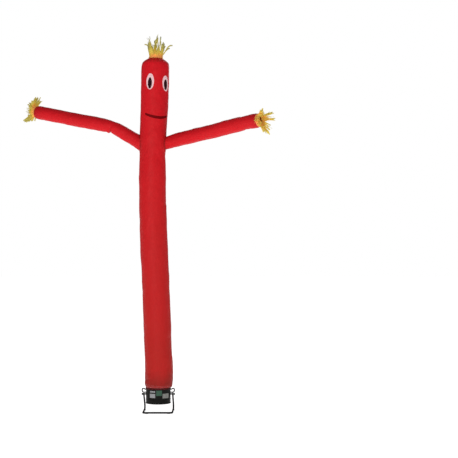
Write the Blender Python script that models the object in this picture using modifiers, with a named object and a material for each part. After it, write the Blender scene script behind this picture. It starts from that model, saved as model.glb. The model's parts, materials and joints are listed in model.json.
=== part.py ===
"""An inflatable air dancer, standing on its floor blower.

Metres, +Z up, the front towards -Y. The floor is z = 0, and the origin lies on it, under the middle of the
dancer's spread. The dancer is built round the blower's axis, and one empty puts the whole at its place.
"""

import math
import random

import bmesh
import bpy
from mathutils import Matrix, Vector

# ---------------------------------------------------------------- driving sizes
GAP = 0.0003  # between pieces that touch
CLOTH = 0.0015  # nylon, at the thickness it is built
BLOWER_AXIS = Vector((0.20, 0.164, 0.0))  # where the blower stands under the spread

BODY_SIDES = 32
ARM_SIDES = 20
DRUM_SIDES = 36
BAND_SIDES = 24

# The body is one long tube of cloth. Rows run from the hem up to the seam of the head.
# (height, sideways, backwards, radius)
BODY_ROWS = (
    (0.397, 0.000, 0.000, 0.2116),  # lower edge of the hem, over the drum
    (0.426, 0.000, 0.000, 0.2113),  # drawn in along the casing seam
    (0.433, 0.000, 0.000, 0.2150),
    (0.444, 0.001, 0.000, 0.2245),
    (0.462, 0.003, 0.000, 0.2315),
    (0.500, 0.007, 0.000, 0.2345),
    (0.560, 0.011, 0.000, 0.2350),
    (0.676, 0.013, 0.000, 0.2348),
    (1.082, -0.002, -0.004, 0.2319),
    (1.488, -0.015, -0.008, 0.2290),
    (1.895, -0.032, -0.012, 0.2286),
    (2.301, -0.047, -0.015, 0.2294),
    (2.707, -0.067, -0.016, 0.2286),
    (3.114, -0.081, -0.015, 0.2300),
    (3.520, -0.094, -0.012, 0.2255),
    (3.926, -0.098, -0.008, 0.2270),
    (4.200, -0.097, -0.004, 0.2200),
    (4.345, -0.096, 0.000, 0.2152),  # waist under the arms
    (4.480, -0.094, 0.004, 0.2190),
    (4.700, -0.089, 0.012, 0.2222),
    (4.942, -0.079, 0.022, 0.2255),
    (5.145, -0.070, 0.032, 0.2302),
    (5.348, -0.064, 0.044, 0.2330),
    (5.560, -0.059, 0.058, 0.2352),
    (5.755, -0.0542, 0.0735, 0.2348),
    (5.860, -0.0515, 0.0820, 0.2320),
    (5.900, -0.0505, 0.0852, 0.2250),  # seam of the head piece
)

# The head piece closes the tube down to its vent. (along the head's axis, radius)
HEAD_ROWS = (
    (0.000, 0.2250),
    (0.006, 0.2239),
    (0.020, 0.2160),
    (0.045, 0.1860),
    (0.068, 0.1530),
    (0.084, 0.1240),
    (0.088, 0.1195),
)

# Each arm is a tube that starts inside the body, and ends in a vent at the hand.
# (sideways, backwards, height, radius)
LEFT_ARM_ROWS = (
    (-0.150, 0.015, 4.469, 0.1240),
    (-0.300, 0.052, 4.557, 0.1230),
    (-0.350, 0.064, 4.587, 0.1150),
    (-0.425, 0.082, 4.630, 0.1095),
    (-0.560, 0.115, 4.709, 0.1080),
    (-0.665, 0.142, 4.772, 0.1075),
    (-0.726, 0.157, 4.806, 0.1050),
    (-0.785, 0.172, 4.832, 0.1020),  # elbow, drawn in on its hollow side
    (-0.850, 0.190, 4.852, 0.1060),
    (-0.950, 0.221, 4.877, 0.1110),
    (-1.101, 0.272, 4.909, 0.1135),
    (-1.334, 0.359, 4.956, 0.1135),
    (-1.540, 0.436, 5.001, 0.1120),
    (-1.760, 0.518, 5.050, 0.1130),
    (-1.980, 0.599, 5.098, 0.1140),
    (-2.100, 0.644, 5.125, 0.1135),
    (-2.138, 0.658, 5.133, 0.1080),
    (-2.166, 0.669, 5.139, 0.0925),
)
RIGHT_ARM_ROWS = (
    (-0.042, 0.030, 4.501, 0.1010),
    (0.120, 0.012, 4.547, 0.1025),  # drawn in at the seam with the body
    (0.173, 0.001, 4.561, 0.1055),
    (0.241, -0.023, 4.580, 0.1095),
    (0.336, -0.068, 4.604, 0.1130),
    (0.491, -0.163, 4.636, 0.1145),
    (0.730, -0.333, 4.680, 0.1150),
    (0.982, -0.526, 4.724, 0.1155),
    (1.213, -0.704, 4.772, 0.1165),
    (1.376, -0.824, 4.803, 0.1155),
    (1.456, -0.882, 4.819, 0.1095),  # pinched behind the hand
    (1.529, -0.931, 4.830, 0.1120),
    (1.592, -0.974, 4.837, 0.1160),
    (1.640, -1.007, 4.842, 0.1150),
    (1.674, -1.029, 4.847, 0.1070),
)

# Appliques of the face. Azimuths turn from the front (-Y) towards +X. Widths are flat, across the face.
# (name, azimuth in degrees, height, width, tallness, layer)
FACE_PATCHES = (
    ("eye_white_left", -17.5, 5.560, 0.136, 0.268, 0),
    ("eye_white_right", 52.5, 5.544, 0.136, 0.262, 0),
    ("pupil_left", -18.0, 5.533, 0.074, 0.188, 1),
    ("pupil_right", 52.0, 5.522, 0.074, 0.176, 1),
)
PATCH_SIDES = 26
PATCH_THICKNESS = 0.0010
MOUTH_AZIMUTH = 18.5
MOUTH_HEIGHT = 4.950  # of its lowest point
MOUTH_HALF_WIDTH = 0.186
MOUTH_RISE = 0.060
MOUTH_STROKE = 0.030
MOUTH_ROLL = -2.0
MOUTH_STEPS = 12

# Fringe: flat strips of yellow cloth, sewn to a band round each vent.
STRIP_WIDTH = 0.027
STRIP_THICKNESS = 0.0020
STRIP_STEPS = 6
STRIP_RAMP = 0.35  # share of a strip's length in which it takes its lean
TWIST_START = 0.20  # share at which it starts to turn about itself
STRIP_TWIST = 95.0
FOLD_POWER = 5  # how late a strip's tip folds over
BAND_THICKNESS = 0.0030
HAIR_BAND_HEIGHT = 0.022
HAND_BAND_HEIGHT = 0.016

# Strips that stand out of the bunch. slot: (length, lean away from the axis, fold of the tip, sideways share)
HAIR_LEADERS = {
    0: (0.290, 30.0, 60.0, 0.05),
    2: (0.230, 12.0, 30.0, 0.00),
    5: (0.300, 4.0, 12.0, 0.20),
    7: (0.350, 6.0, -10.0, -0.30),
    9: (0.280, 5.0, 20.0, 0.10),
    12: (0.270, 3.0, 108.0, 0.00),
    14: (0.210, 6.0, 24.0, 0.00),
    16: (0.335, 13.0, 14.0, -0.15),
    18: (0.425, 4.0, 26.0, 1.10),
    20: (0.370, 9.0, -6.0, 0.10),
    22: (0.250, 9.0, -10.0, 0.00),
}
LEFT_HAND_LEADERS = {
    2: (0.160, 60.0, 10.0, 0.10),
    3: (0.190, 96.0, 14.0, 0.10),
    4: (0.215, 104.0, 10.0, 0.05),
    5: (0.205, 108.0, 10.0, -0.05),
    6: (0.160, 92.0, 20.0, -0.10),
    11: (0.180, 50.0, -10.0, 0.05),
    12: (0.230, 47.0, 8.0, 0.08),
    13: (0.245, 45.0, 10.0, 0.00),
    14: (0.230, 48.0, -8.0, -0.08),
    15: (0.190, 56.0, 16.0, -0.10),
}
RIGHT_HAND_LEADERS = {
    1: (0.235, 8.0, 24.0, 0.00),
    2: (0.225, 32.0, 34.0, 0.10),
    5: (0.130, 50.0, 30.0, 0.00),
    10: (0.120, 96.0, 20.0, 0.00),
    15: (0.180, 56.0, 14.0, 0.00),
    16: (0.210, 62.0, 14.0, 0.10),
    18: (0.190, 42.0, 24.0, 0.00),
}

# The other strips lie between two limits. (length, lean, fold, sideways share)
HAIR_FILLER = ((0.17, 0.25), (1.0, 9.0), (-15.0, 25.0), (-0.15, 0.15))
LEFT_HAND_FILLER = ((0.12, 0.17), (58.0, 84.0), (-20.0, 30.0), (-0.10, 0.10))
RIGHT_HAND_FILLER = ((0.10, 0.16), (6.0, 30.0), (0.0, 30.0), (-0.08, 0.08))
# Each bunch: (strips, its leaders, its filler, how much it hangs, seed)
HAIR = (24, HAIR_LEADERS, HAIR_FILLER, 0.0, 11)
LEFT_HAND = (18, LEFT_HAND_LEADERS, LEFT_HAND_FILLER, 0.05, 5)
RIGHT_HAND = (20, RIGHT_HAND_LEADERS, RIGHT_HAND_FILLER, 0.35, 8)

# Blower
DRUM_RADIUS = 0.208
DRUM_WALL = 0.003
DRUM_BOTTOM = 0.152
DRUM_TOP = 0.452
FLANGE_RADIUS = 0.2125
GUARD_RADIUS = 0.2010
GUARD_THICKNESS = 0.003
GUARD_RIBS = 8
GUARD_RIB_HALF = 0.005
GUARD_SLOTS = ((0.088, 0.134), (0.144, 0.190))  # (inner radius, outer radius)
SLOT_STEPS = 4
MOTOR_RADIUS = 0.072
MOTOR_HEIGHT = 0.125

# (name, azimuth, height of the middle, width, tallness)
LABELS = (
    ("label_strip", -25.0, 0.3640, 0.096, 0.026),
    ("label_left", -25.3, 0.2960, 0.100, 0.070),
    ("label_green", 6.8, 0.3420, 0.096, 0.088),
    ("label_right", 41.0, 0.2920, 0.126, 0.078),
)
LABEL_THICKNESS = 0.0008

TUBE_RADIUS = 0.0125
TUBE_HEIGHT = 0.0165  # of the tube's middle where it lies along the floor
STAND_HALF_WIDTH = 0.245
STAND_FRONT = -0.215
STAND_BACK = 0.355  # where the leg and the floor run would meet
REAR_BEND = 0.045
FRONT_BEND = 0.030
PIVOT_HEIGHT = 0.305
BARREL_RADIUS = 0.016
BARREL_HALF = 0.014
FOOT_SIZE = (0.046, 0.036, 0.0165)
FOOT_PLACES = (  # (sideways, backwards, turn in degrees)
    (0.186, STAND_FRONT, 0.0),
    (STAND_HALF_WIDTH, 0.190, 90.0),
)

HANDLE_RADIUS = 0.008
HANDLE_ROUTE = (  # (out from the axis, height)
    (DRUM_RADIUS + GAP, 0.3850),
    (0.2200, 0.3850),
    (0.2400, 0.3960),
    (0.2580, 0.3990),
    (0.2700, 0.3890),
    (0.2725, 0.3640),
    (0.2640, 0.3440),
    (0.2440, 0.3350),
    (0.2200, 0.3350),
    (DRUM_RADIUS + GAP, 0.3350),
)

COLOURS = {
    "cloth": ((0.60, 0.012, 0.018), 0.50, 0.0),
    "fringe": ((0.72, 0.52, 0.07), 0.55, 0.0),
    "white_cloth": ((0.86, 0.80, 0.80), 0.55, 0.0),
    "black_cloth": ((0.012, 0.008, 0.010), 0.55, 0.0),
    "mouth_cloth": ((0.075, 0.002, 0.004), 0.55, 0.0),
    "drum": ((0.010, 0.010, 0.011), 0.38, 0.0),
    "stand": ((0.008, 0.008, 0.009), 0.35, 0.0),
    "metal": ((0.05, 0.05, 0.055), 0.45, 1.0),
    "plastic": ((0.012, 0.012, 0.013), 0.50, 0.0),
    "rubber": ((0.015, 0.015, 0.015), 0.85, 0.0),
    "label_white": ((0.70, 0.70, 0.70), 0.50, 0.0),
    "label_green": ((0.16, 0.36, 0.27), 0.50, 0.0),
}

# ---------------------------------------------------------------- an empty scene
for old in list(bpy.data.objects):
    bpy.data.objects.remove(old, do_unlink=True)

parts = bpy.data.collections.new("air_dancer")
cutters = bpy.data.collections.new("cutters")
bpy.context.scene.collection.children.link(parts)
bpy.context.scene.collection.children.link(cutters)

place = bpy.data.objects.new("blower_place", None)
place.location = BLOWER_AXIS
parts.objects.link(place)


# ---------------------------------------------------------------- helpers
def material(name):
    """The Principled material of one kind of piece."""
    found = bpy.data.materials.get(name)
    if found:
        return found
    colour, roughness, metallic = COLOURS[name]
    made = bpy.data.materials.new(name)
    made.use_nodes = True
    shader = made.node_tree.nodes["Principled BSDF"]
    shader.inputs["Base Color"].default_value = (*colour, 1.0)
    shader.inputs["Roughness"].default_value = roughness
    shader.inputs["Metallic"].default_value = metallic
    return made


def add(name, mesh, kind, smooth=True):
    """A piece of the object, from its mesh."""
    piece = bpy.data.objects.new(name, mesh)
    parts.objects.link(piece)
    piece.parent = place
    mesh.materials.clear()
    mesh.materials.append(material(kind))
    if smooth:
        mesh.shade_smooth()
        mesh.set_sharp_from_angle(angle=math.radians(35))
    return piece


def add_cutter(name, mesh):
    """A shape that cuts or joins a piece, and isn't one itself."""
    cutter = bpy.data.objects.new(name, mesh)
    cutters.objects.link(cutter)
    cutter.parent = place
    cutter.hide_render = True
    cutter.display_type = "WIRE"
    return cutter


def boolean(piece, other, operation):
    """Cuts, joins or intersects a piece with a cutter."""
    step = piece.modifiers.new(other.name, "BOOLEAN")
    step.operation = operation
    step.object = other
    step.solver = "EXACT"


def thicken(piece, thickness):
    """Gives an open surface its thickness, inwards."""
    wall = piece.modifiers.new("thickness", "SOLIDIFY")
    wall.thickness = thickness
    wall.offset = -1.0
    wall.use_even_offset = True


def mesh_of(maker):
    """Turns what maker(bm) builds into a mesh with its faces outwards."""
    bm = bmesh.new()
    maker(bm)
    bmesh.ops.recalc_face_normals(bm, faces=bm.faces)
    mesh = bpy.data.meshes.new("mesh")
    bm.to_mesh(mesh)
    bm.free()
    return mesh


def tube_mesh(points, radii, sides, capped):
    """A tube with its own radius at each point: a curve with a round bevel, made a mesh."""
    curve = bpy.data.curves.new("tube", "CURVE")
    curve.dimensions = "3D"
    curve.bevel_depth = 1.0
    curve.bevel_resolution = (sides - 4) // 2
    curve.use_fill_caps = capped
    spline = curve.splines.new("POLY")
    spline.points.add(len(points) - 1)
    for point, place_on_route, radius in zip(spline.points, points, radii):
        point.co = (*place_on_route, 1.0)
        point.radius = radius
    holder = bpy.data.objects.new("tube", curve)
    bpy.context.scene.collection.objects.link(holder)
    evaluated = holder.evaluated_get(bpy.context.evaluated_depsgraph_get())
    mesh = bpy.data.meshes.new_from_object(evaluated)
    bpy.data.objects.remove(holder, do_unlink=True)
    bpy.data.curves.remove(curve)
    bm = bmesh.new()
    bm.from_mesh(mesh)
    bmesh.ops.remove_doubles(bm, verts=bm.verts, dist=0.00005)
    bm.to_mesh(mesh)
    bm.free()
    return mesh


def cloth_tube(rows, sides, grow=0.0, capped=False):
    """The tube of a table of rows, a little wider or narrower by grow."""
    return tube_mesh([row[:3] for row in rows], [row[3] + grow for row in rows], sides, capped)


def turned(profile, sides):
    """A closed profile of (radius, height), turned round the Z axis with a Screw."""
    mesh = bpy.data.meshes.new("profile")
    count = len(profile)
    edges = [(i, (i + 1) % count) for i in range(count)]
    if profile[0][0] == 0.0 and profile[-1][0] == 0.0:
        edges = edges[:-1]
    mesh.from_pydata([(radius, 0.0, height) for radius, height in profile], edges, [])
    holder = bpy.data.objects.new("profile", mesh)
    bpy.context.scene.collection.objects.link(holder)
    screw = holder.modifiers.new("turn", "SCREW")
    screw.steps = screw.render_steps = sides
    screw.use_merge_vertices = True
    screw.merge_threshold = 0.00002
    evaluated = holder.evaluated_get(bpy.context.evaluated_depsgraph_get())
    solid = bpy.data.meshes.new_from_object(evaluated)
    bpy.data.objects.remove(holder, do_unlink=True)
    bpy.data.meshes.remove(mesh)
    return solid


def moved(mesh, matrix):
    """The same mesh, put in its place."""
    mesh.transform(matrix)
    return mesh


def facing(azimuth, height, centre=(0.0, 0.0), roll=0.0):
    """A frame on the axis: x across, z up, -y out towards the azimuth."""
    turn = Matrix.Rotation(math.radians(azimuth), 4, "Z")
    tip = Matrix.Rotation(math.radians(-roll), 4, "Y")
    return Matrix.Translation((centre[0], centre[1], height)) @ turn @ tip


def prism_mesh(outline, near, far):
    """A flat outline in the XZ plane, drawn out along -Y from near to far."""

    def maker(bm):
        face = bm.faces.new([bm.verts.new((x, -near, z)) for x, z in outline])
        grown = bmesh.ops.extrude_face_region(bm, geom=[face])
        lifted = [v for v in grown["geom"] if isinstance(v, bmesh.types.BMVert)]
        bmesh.ops.translate(bm, verts=lifted, vec=(0.0, near - far, 0.0))

    return mesh_of(maker)


def ellipse(width, tallness, sides):
    """The outline of an oval."""
    turns = [2.0 * math.pi * i / sides for i in range(sides)]
    return [(0.5 * width * math.cos(a), 0.5 * tallness * math.sin(a)) for a in turns]


def smile():
    """The outline of the mouth: a stroke that curves up and thins towards its two ends."""
    upper, lower = [], []
    for i in range(MOUTH_STEPS + 1):
        across = 2.0 * i / MOUTH_STEPS - 1.0
        middle = MOUTH_RISE * abs(across) ** 2.4 + 0.5 * MOUTH_STROKE
        half = 0.5 * MOUTH_STROKE * (1.0 - 0.55 * abs(across) ** 3)
        upper.append((MOUTH_HALF_WIDTH * across, middle + half))
        lower.append((MOUTH_HALF_WIDTH * across, middle - half))
    return upper + lower[::-1]


def rounded(corners):
    """Points along straight runs joined by arcs. Each corner is (point, bend radius)."""
    route = [Vector(corners[0][0])]
    for (before, _), (corner, radius), (after, _) in zip(corners, corners[1:], corners[2:]):
        before, corner, after = Vector(before), Vector(corner), Vector(after)
        back, on = (before - corner).normalized(), (after - corner).normalized()
        half_angle = back.angle(on) / 2.0
        centre = corner + (back + on).normalized() * radius / math.sin(half_angle)
        first = corner + back * radius / math.tan(half_angle) - centre
        last = corner + on * radius / math.tan(half_angle) - centre
        steps = max(3, round(math.degrees(first.angle(last)) / 18.0))
        for i in range(steps + 1):
            route.append(centre + first.normalized().slerp(last.normalized(), i / steps) * radius)
    route.append(Vector(corners[-1][0]))
    return route


# ---------------------------------------------------------------- the cloth
def body_at(height):
    """The body's middle and radius at a height, read off its rows."""
    for low, high in zip(BODY_ROWS, BODY_ROWS[1:]):
        if low[0] <= height <= high[0]:
            share = (height - low[0]) / (high[0] - low[0])
            return [a + (b - a) * share for a, b in zip(low[1:], high[1:])]
    return list(BODY_ROWS[-1][1:])


def body_rows():
    """The body's rows as (x, y, z, radius)."""
    return [(sideways, backwards, height, radius) for height, sideways, backwards, radius in BODY_ROWS]


def head_axis():
    """The direction of the tube at the head's seam, and the seam's middle."""
    last, before = (Vector(row[:3]) for row in (body_rows()[-1], body_rows()[-2]))
    return last, (last - before).normalized()


def make_body():
    """The tube of the body, with a hole at each arm."""
    body = add("body_tube", cloth_tube(body_rows(), BODY_SIDES), "cloth")
    thicken(body, CLOTH)
    for name, rows in (("left", LEFT_ARM_ROWS), ("right", RIGHT_ARM_ROWS)):
        inside = cloth_tube(rows[:4], ARM_SIDES, grow=-CLOTH, capped=True)
        boolean(body, add_cutter(f"arm_hole_{name}", inside), "DIFFERENCE")


def make_head():
    """The head piece, from its seam to the vent."""
    seam, axis = head_axis()
    rows = [(*(seam + axis * (along + GAP)), radius) for along, radius in HEAD_ROWS]
    head = add("head_top", cloth_tube(rows, BODY_SIDES), "cloth")
    thicken(head, CLOTH)


def make_arms():
    """Both arms, each ending where it meets the body."""
    outside = cloth_tube(body_rows(), BODY_SIDES, grow=GAP, capped=True)
    wall = add_cutter("body_outside", outside)
    for name, rows in (("arm_left", LEFT_ARM_ROWS), ("arm_right", RIGHT_ARM_ROWS)):
        arm = add(name, cloth_tube(rows, ARM_SIDES), "cloth")
        thicken(arm, CLOTH)
        boolean(arm, wall, "DIFFERENCE")


def make_patch(name, kind, outline, azimuth, height, layer, roll=0.0):
    """A patch of cloth that lies on the body, one layer or two up, cut to its outline."""
    lift = GAP + layer * (PATCH_THICKNESS + GAP)
    skin = cloth_tube(body_rows(), BODY_SIDES, grow=lift + PATCH_THICKNESS)
    patch = add(name, skin, kind)
    thicken(patch, PATCH_THICKNESS)
    sideways, backwards, radius = body_at(height)
    outline_solid = prism_mesh(outline, 0.2 * radius, 1.3 * radius)
    moved(outline_solid, facing(azimuth, height, (sideways, backwards), roll))
    boolean(patch, add_cutter(f"{name}_outline", outline_solid), "INTERSECT")


def make_face():
    """Eyes and mouth."""
    for name, azimuth, height, width, tallness, layer in FACE_PATCHES:
        kind = "black_cloth" if layer else "white_cloth"
        make_patch(name, kind, ellipse(width, tallness, PATCH_SIDES), azimuth, height, layer)
    make_patch("mouth", "mouth_cloth", smile(), MOUTH_AZIMUTH, MOUTH_HEIGHT, 0, MOUTH_ROLL)


# ---------------------------------------------------------------- the fringe
def strip_into(bm, root, axis, radial, shape, twist, droop):
    """One flat strip: it leaves along the axis, leans away from it, folds at its tip, and hangs a little."""
    length, lean, fold, sideways = shape
    tangent = axis.cross(radial)
    lateral = (radial + tangent * sideways).normalized()
    point, rings = root.copy(), []
    for i in range(STRIP_STEPS + 1):
        share = i / STRIP_STEPS
        angle = math.radians(lean * min(1.0, share / STRIP_RAMP) + fold * share**FOLD_POWER)
        along = axis * math.cos(angle) + lateral * math.sin(angle)
        if i:
            along = (along + Vector((0, 0, -droop * share))).normalized()
            point = point + along * length / STRIP_STEPS
        across = (tangent - along * tangent.dot(along)).normalized()
        across.rotate(Matrix.Rotation(math.radians(twist) * max(0.0, share - TWIST_START), 3, along))
        out = across.cross(along)
        half_width = 0.5 * STRIP_WIDTH * (1.0 - 0.25 * share)
        half_thick = 0.5 * STRIP_THICKNESS
        corners = ((-1, -1), (1, -1), (1, 1), (-1, 1))
        ring = [bm.verts.new(point + across * a * half_width + out * b * half_thick) for a, b in corners]
        rings.append(ring)
    for low, high in zip(rings, rings[1:]):
        for i in range(4):
            j = (i + 1) % 4
            bm.faces.new((low[i], low[j], high[j], high[i]))
    bm.faces.new(rings[0][::-1])
    bm.faces.new(rings[-1])


def make_fringe(name, centre, axis, radius, height, bunch):
    """A band round a vent, and the strips whose roots are sewn into it."""
    count, leaders, filler, droop, seed = bunch
    spread = random.Random(seed)
    turn = axis.to_track_quat("Z", "Y").to_matrix().to_4x4()
    if abs(axis.z) < 0.9:  # on a hand, slot 0 starts at the front or back and the slots climb over the top
        up = (Vector((0, 0, 1)) - axis * axis.z).normalized()
        turn = Matrix((up.cross(axis), up, axis)).transposed().to_4x4()
    frame = Matrix.Translation(centre) @ turn
    half = 0.5 * BAND_THICKNESS
    profile = ((radius + half, height), (radius + half, 0.0), (radius - half, 0.0), (radius - half, height))
    band = add(name, moved(turned(profile, BAND_SIDES), frame), "fringe", smooth=False)

    def maker(bm):
        for slot in range(count):
            around = 2.0 * math.pi * slot / count
            radial = (turn @ Vector((math.cos(around), math.sin(around), 0.0))).normalized()
            shape = leaders.get(slot) or [spread.uniform(*limits) for limits in filler]
            root = centre + radial * radius + axis * 0.55 * height
            strip_into(bm, root, axis, radial, shape, spread.uniform(-STRIP_TWIST, STRIP_TWIST), droop)

    boolean(band, add_cutter(f"{name}_strips", mesh_of(maker)), "UNION")


def make_fringes():
    """The hair on the head's vent, and the tassels at both hands."""
    seam, axis = head_axis()
    top, vent = HEAD_ROWS[-1]
    crown = seam + axis * (top + 2.0 * GAP)
    make_fringe("fringe_hair", crown, axis, vent, HAIR_BAND_HEIGHT, HAIR)
    hands = (("left", LEFT_ARM_ROWS, LEFT_HAND), ("right", RIGHT_ARM_ROWS, RIGHT_HAND))
    for side, rows, bunch in hands:
        last, before = Vector(rows[-1][:3]), Vector(rows[-2][:3])
        axis = (last - before).normalized()
        radius = rows[-1][3] - 0.5 * CLOTH
        make_fringe(f"fringe_{side}_hand", last + axis * GAP, axis, radius, HAND_BAND_HEIGHT, bunch)


# ---------------------------------------------------------------- the blower
def make_drum():
    """The drum: a rolled sheet wall with a bead and a flange at its foot."""
    inner = DRUM_RADIUS - DRUM_WALL
    profile = (
        (DRUM_RADIUS - 0.003, DRUM_TOP),
        (DRUM_RADIUS, DRUM_TOP - 0.003),
        (DRUM_RADIUS, 0.231),
        (DRUM_RADIUS + 0.003, 0.227),
        (DRUM_RADIUS + 0.003, 0.218),
        (DRUM_RADIUS, 0.214),
        (DRUM_RADIUS, 0.172),
        (FLANGE_RADIUS, 0.168),
        (FLANGE_RADIUS, DRUM_BOTTOM + 0.003),
        (FLANGE_RADIUS - 0.003, DRUM_BOTTOM),
        (GUARD_RADIUS + GAP, DRUM_BOTTOM),
        (GUARD_RADIUS + GAP, DRUM_BOTTOM + GUARD_THICKNESS + 2.0 * GAP),
        (GUARD_RADIUS - 0.004, DRUM_BOTTOM + GUARD_THICKNESS + 2.0 * GAP),
        (GUARD_RADIUS - 0.004, DRUM_BOTTOM + 0.007),
        (inner, 0.170),
        (inner, DRUM_TOP - 0.003),
        (inner + 0.0005, DRUM_TOP),
    )
    add("drum", turned(profile, DRUM_SIDES), "drum")


def arc(radius, start, end, steps):
    """Points of an arc round the axis, angles in radians."""
    turns = [start + (end - start) * i / steps for i in range(steps + 1)]
    return [(radius * math.cos(a), radius * math.sin(a)) for a in turns]


def make_guard():
    """The pressed guard under the drum: a plate with slots between its ribs."""
    curve = bpy.data.curves.new("inlet_guard", "CURVE")
    curve.dimensions = "2D"
    curve.fill_mode = "BOTH"
    curve.extrude = 0.5 * GUARD_THICKNESS
    outlines = [arc(GUARD_RADIUS, 0.0, 2.0 * math.pi, DRUM_SIDES)[:-1]]
    pitch = 2.0 * math.pi / GUARD_RIBS
    for inner, outer in GUARD_SLOTS:
        for rib in range(GUARD_RIBS):
            start, end = rib * pitch, (rib + 1) * pitch
            near, far = GUARD_RIB_HALF / inner, GUARD_RIB_HALF / outer
            slot = arc(inner, start + near, end - near, SLOT_STEPS)
            outlines.append(slot + arc(outer, start + far, end - far, SLOT_STEPS)[::-1])
    for outline in outlines:
        spline = curve.splines.new("POLY")
        spline.points.add(len(outline) - 1)
        spline.use_cyclic_u = True
        for point, (x, y) in zip(spline.points, outline):
            point.co = (x, y, 0.0, 1.0)
    guard = bpy.data.objects.new("inlet_guard", curve)
    guard.location.z = DRUM_BOTTOM + GAP + 0.5 * GUARD_THICKNESS
    guard.parent = place
    parts.objects.link(guard)
    curve.materials.append(material("metal"))


def make_motor():
    """The motor can, on the middle of the guard."""
    foot = DRUM_BOTTOM + GUARD_THICKNESS + 2.0 * GAP
    top = foot + MOTOR_HEIGHT
    profile = (
        (0.0, top),
        (0.45 * MOTOR_RADIUS, top),
        (0.50 * MOTOR_RADIUS, top - 0.010),
        (MOTOR_RADIUS - 0.008, top - 0.014),
        (MOTOR_RADIUS, top - 0.022),
        (MOTOR_RADIUS, foot + 0.004),
        (MOTOR_RADIUS + 0.006, foot + 0.004),
        (MOTOR_RADIUS + 0.006, foot),
        (0.0, foot),
    )
    add("motor", turned(profile, 24), "metal")


def make_labels():
    """Bare stickers on the drum's wall."""
    outer = DRUM_RADIUS + GAP + LABEL_THICKNESS
    for name, azimuth, height, width, tallness in LABELS:
        high, low = height + tallness, height - tallness
        skin = ((outer, high), (outer, low), (DRUM_RADIUS + GAP, low), (DRUM_RADIUS + GAP, high))
        kind = "label_green" if name == "label_green" else "label_white"
        label = add(name, turned(skin, DRUM_SIDES), kind, smooth=False)
        x, z = 0.5 * width, 0.5 * tallness
        outline = prism_mesh(((-x, -z), (x, -z), (x, z), (-x, z)), 0.3 * DRUM_RADIUS, 1.2 * DRUM_RADIUS)
        boolean(label, add_cutter(f"{name}_outline", moved(outline, facing(azimuth, height))), "INTERSECT")


def cylinder_along_x(radius, start, end, sides):
    """A plain cylinder between two places on an X axis."""
    low, high = min(start, end), max(start, end)
    profile = ((0.0, high), (radius, high), (radius, low), (0.0, low))
    return moved(turned(profile, sides), Matrix.Rotation(math.radians(90), 4, "Y"))


def make_stand():
    """The bent tube that carries the drum at its pivots, and lies round it on the floor."""
    wide = STAND_HALF_WIDTH
    corners = (
        ((wide, 0.0, PIVOT_HEIGHT), 0.0),
        ((wide, STAND_BACK, TUBE_HEIGHT), REAR_BEND),
        ((wide, STAND_FRONT, TUBE_HEIGHT), FRONT_BEND),
        ((-wide, STAND_FRONT, TUBE_HEIGHT), FRONT_BEND),
        ((-wide, STAND_BACK, TUBE_HEIGHT), REAR_BEND),
        ((-wide, 0.0, PIVOT_HEIGHT), 0.0),
    )
    route = rounded(corners)
    stand = add("stand", tube_mesh(route, [TUBE_RADIUS] * len(route), 12, True), "stand")
    lift = Matrix.Translation((0, 0, PIVOT_HEIGHT))
    for side, name in ((-1, "left"), (1, "right")):
        near, far = side * (wide - BARREL_HALF), side * (wide + BARREL_HALF)
        barrel = moved(cylinder_along_x(BARREL_RADIUS, near, far, 20), lift)
        boolean(stand, add_cutter(f"barrel_{name}", barrel), "UNION")


def make_pivots():
    """A boss on each side of the drum, and the knob that clamps the stand to it."""
    lift = Matrix.Translation((0, 0, PIVOT_HEIGHT))
    for side, name in ((-1, "left"), (1, "right")):
        start, end = side * (DRUM_RADIUS + GAP), side * (STAND_HALF_WIDTH - BARREL_HALF - GAP)
        add(f"pivot_boss_{name}", moved(cylinder_along_x(0.013, start, end, 18), lift), "drum")
        start = STAND_HALF_WIDTH + BARREL_HALF + GAP
        profile = (
            (0.0, start + 0.022),
            (0.015, start + 0.022),
            (0.020, start + 0.018),
            (0.020, start + 0.007),
            (0.012, start + 0.003),
            (0.012, start),
            (0.0, start),
        )
        turn = Matrix.Rotation(math.radians(90 * side), 4, "Y")
        add(f"knob_{name}", moved(turned(profile, 18), lift @ turn), "plastic")


def make_handles():
    """A bent bar at each side of the drum, to carry it by."""
    for side, name in ((-1, "left"), (1, "right")):
        route = [Vector((side * out, 0.0, height)) for out, height in HANDLE_ROUTE]
        add(f"handle_{name}", tube_mesh(route, [HANDLE_RADIUS] * len(route), 10, True), "plastic")


def make_feet():
    """Four rubber saddles under the stand, flat underneath."""

    def block(bm):
        bmesh.ops.create_cube(bm, size=1.0)
        bmesh.ops.scale(bm, vec=FOOT_SIZE, verts=bm.verts)

    for sideways, backwards, turn in FOOT_PLACES:
        for side in (-1, 1):
            name = f"foot_{'front' if backwards < 0 else 'back'}_{'left' if side < 0 else 'right'}"
            foot = add(name, mesh_of(block), "rubber", smooth=False)
            middle = Vector((side * sideways, backwards, 0.0))
            spin = Matrix.Rotation(math.radians(turn), 4, "Z")
            foot.data.transform(Matrix.Translation(middle + Vector((0, 0, 0.5 * FOOT_SIZE[2]))) @ spin)
            along = spin @ Vector((0.7 * FOOT_SIZE[0], 0, 0))
            channel_ends = [middle + Vector((0, 0, TUBE_HEIGHT)) + along * end for end in (-1, 1)]
            channel = tube_mesh(channel_ends, [TUBE_RADIUS + GAP] * 2, 12, True)
            boolean(foot, add_cutter(f"{name}_channel", channel), "DIFFERENCE")


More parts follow.
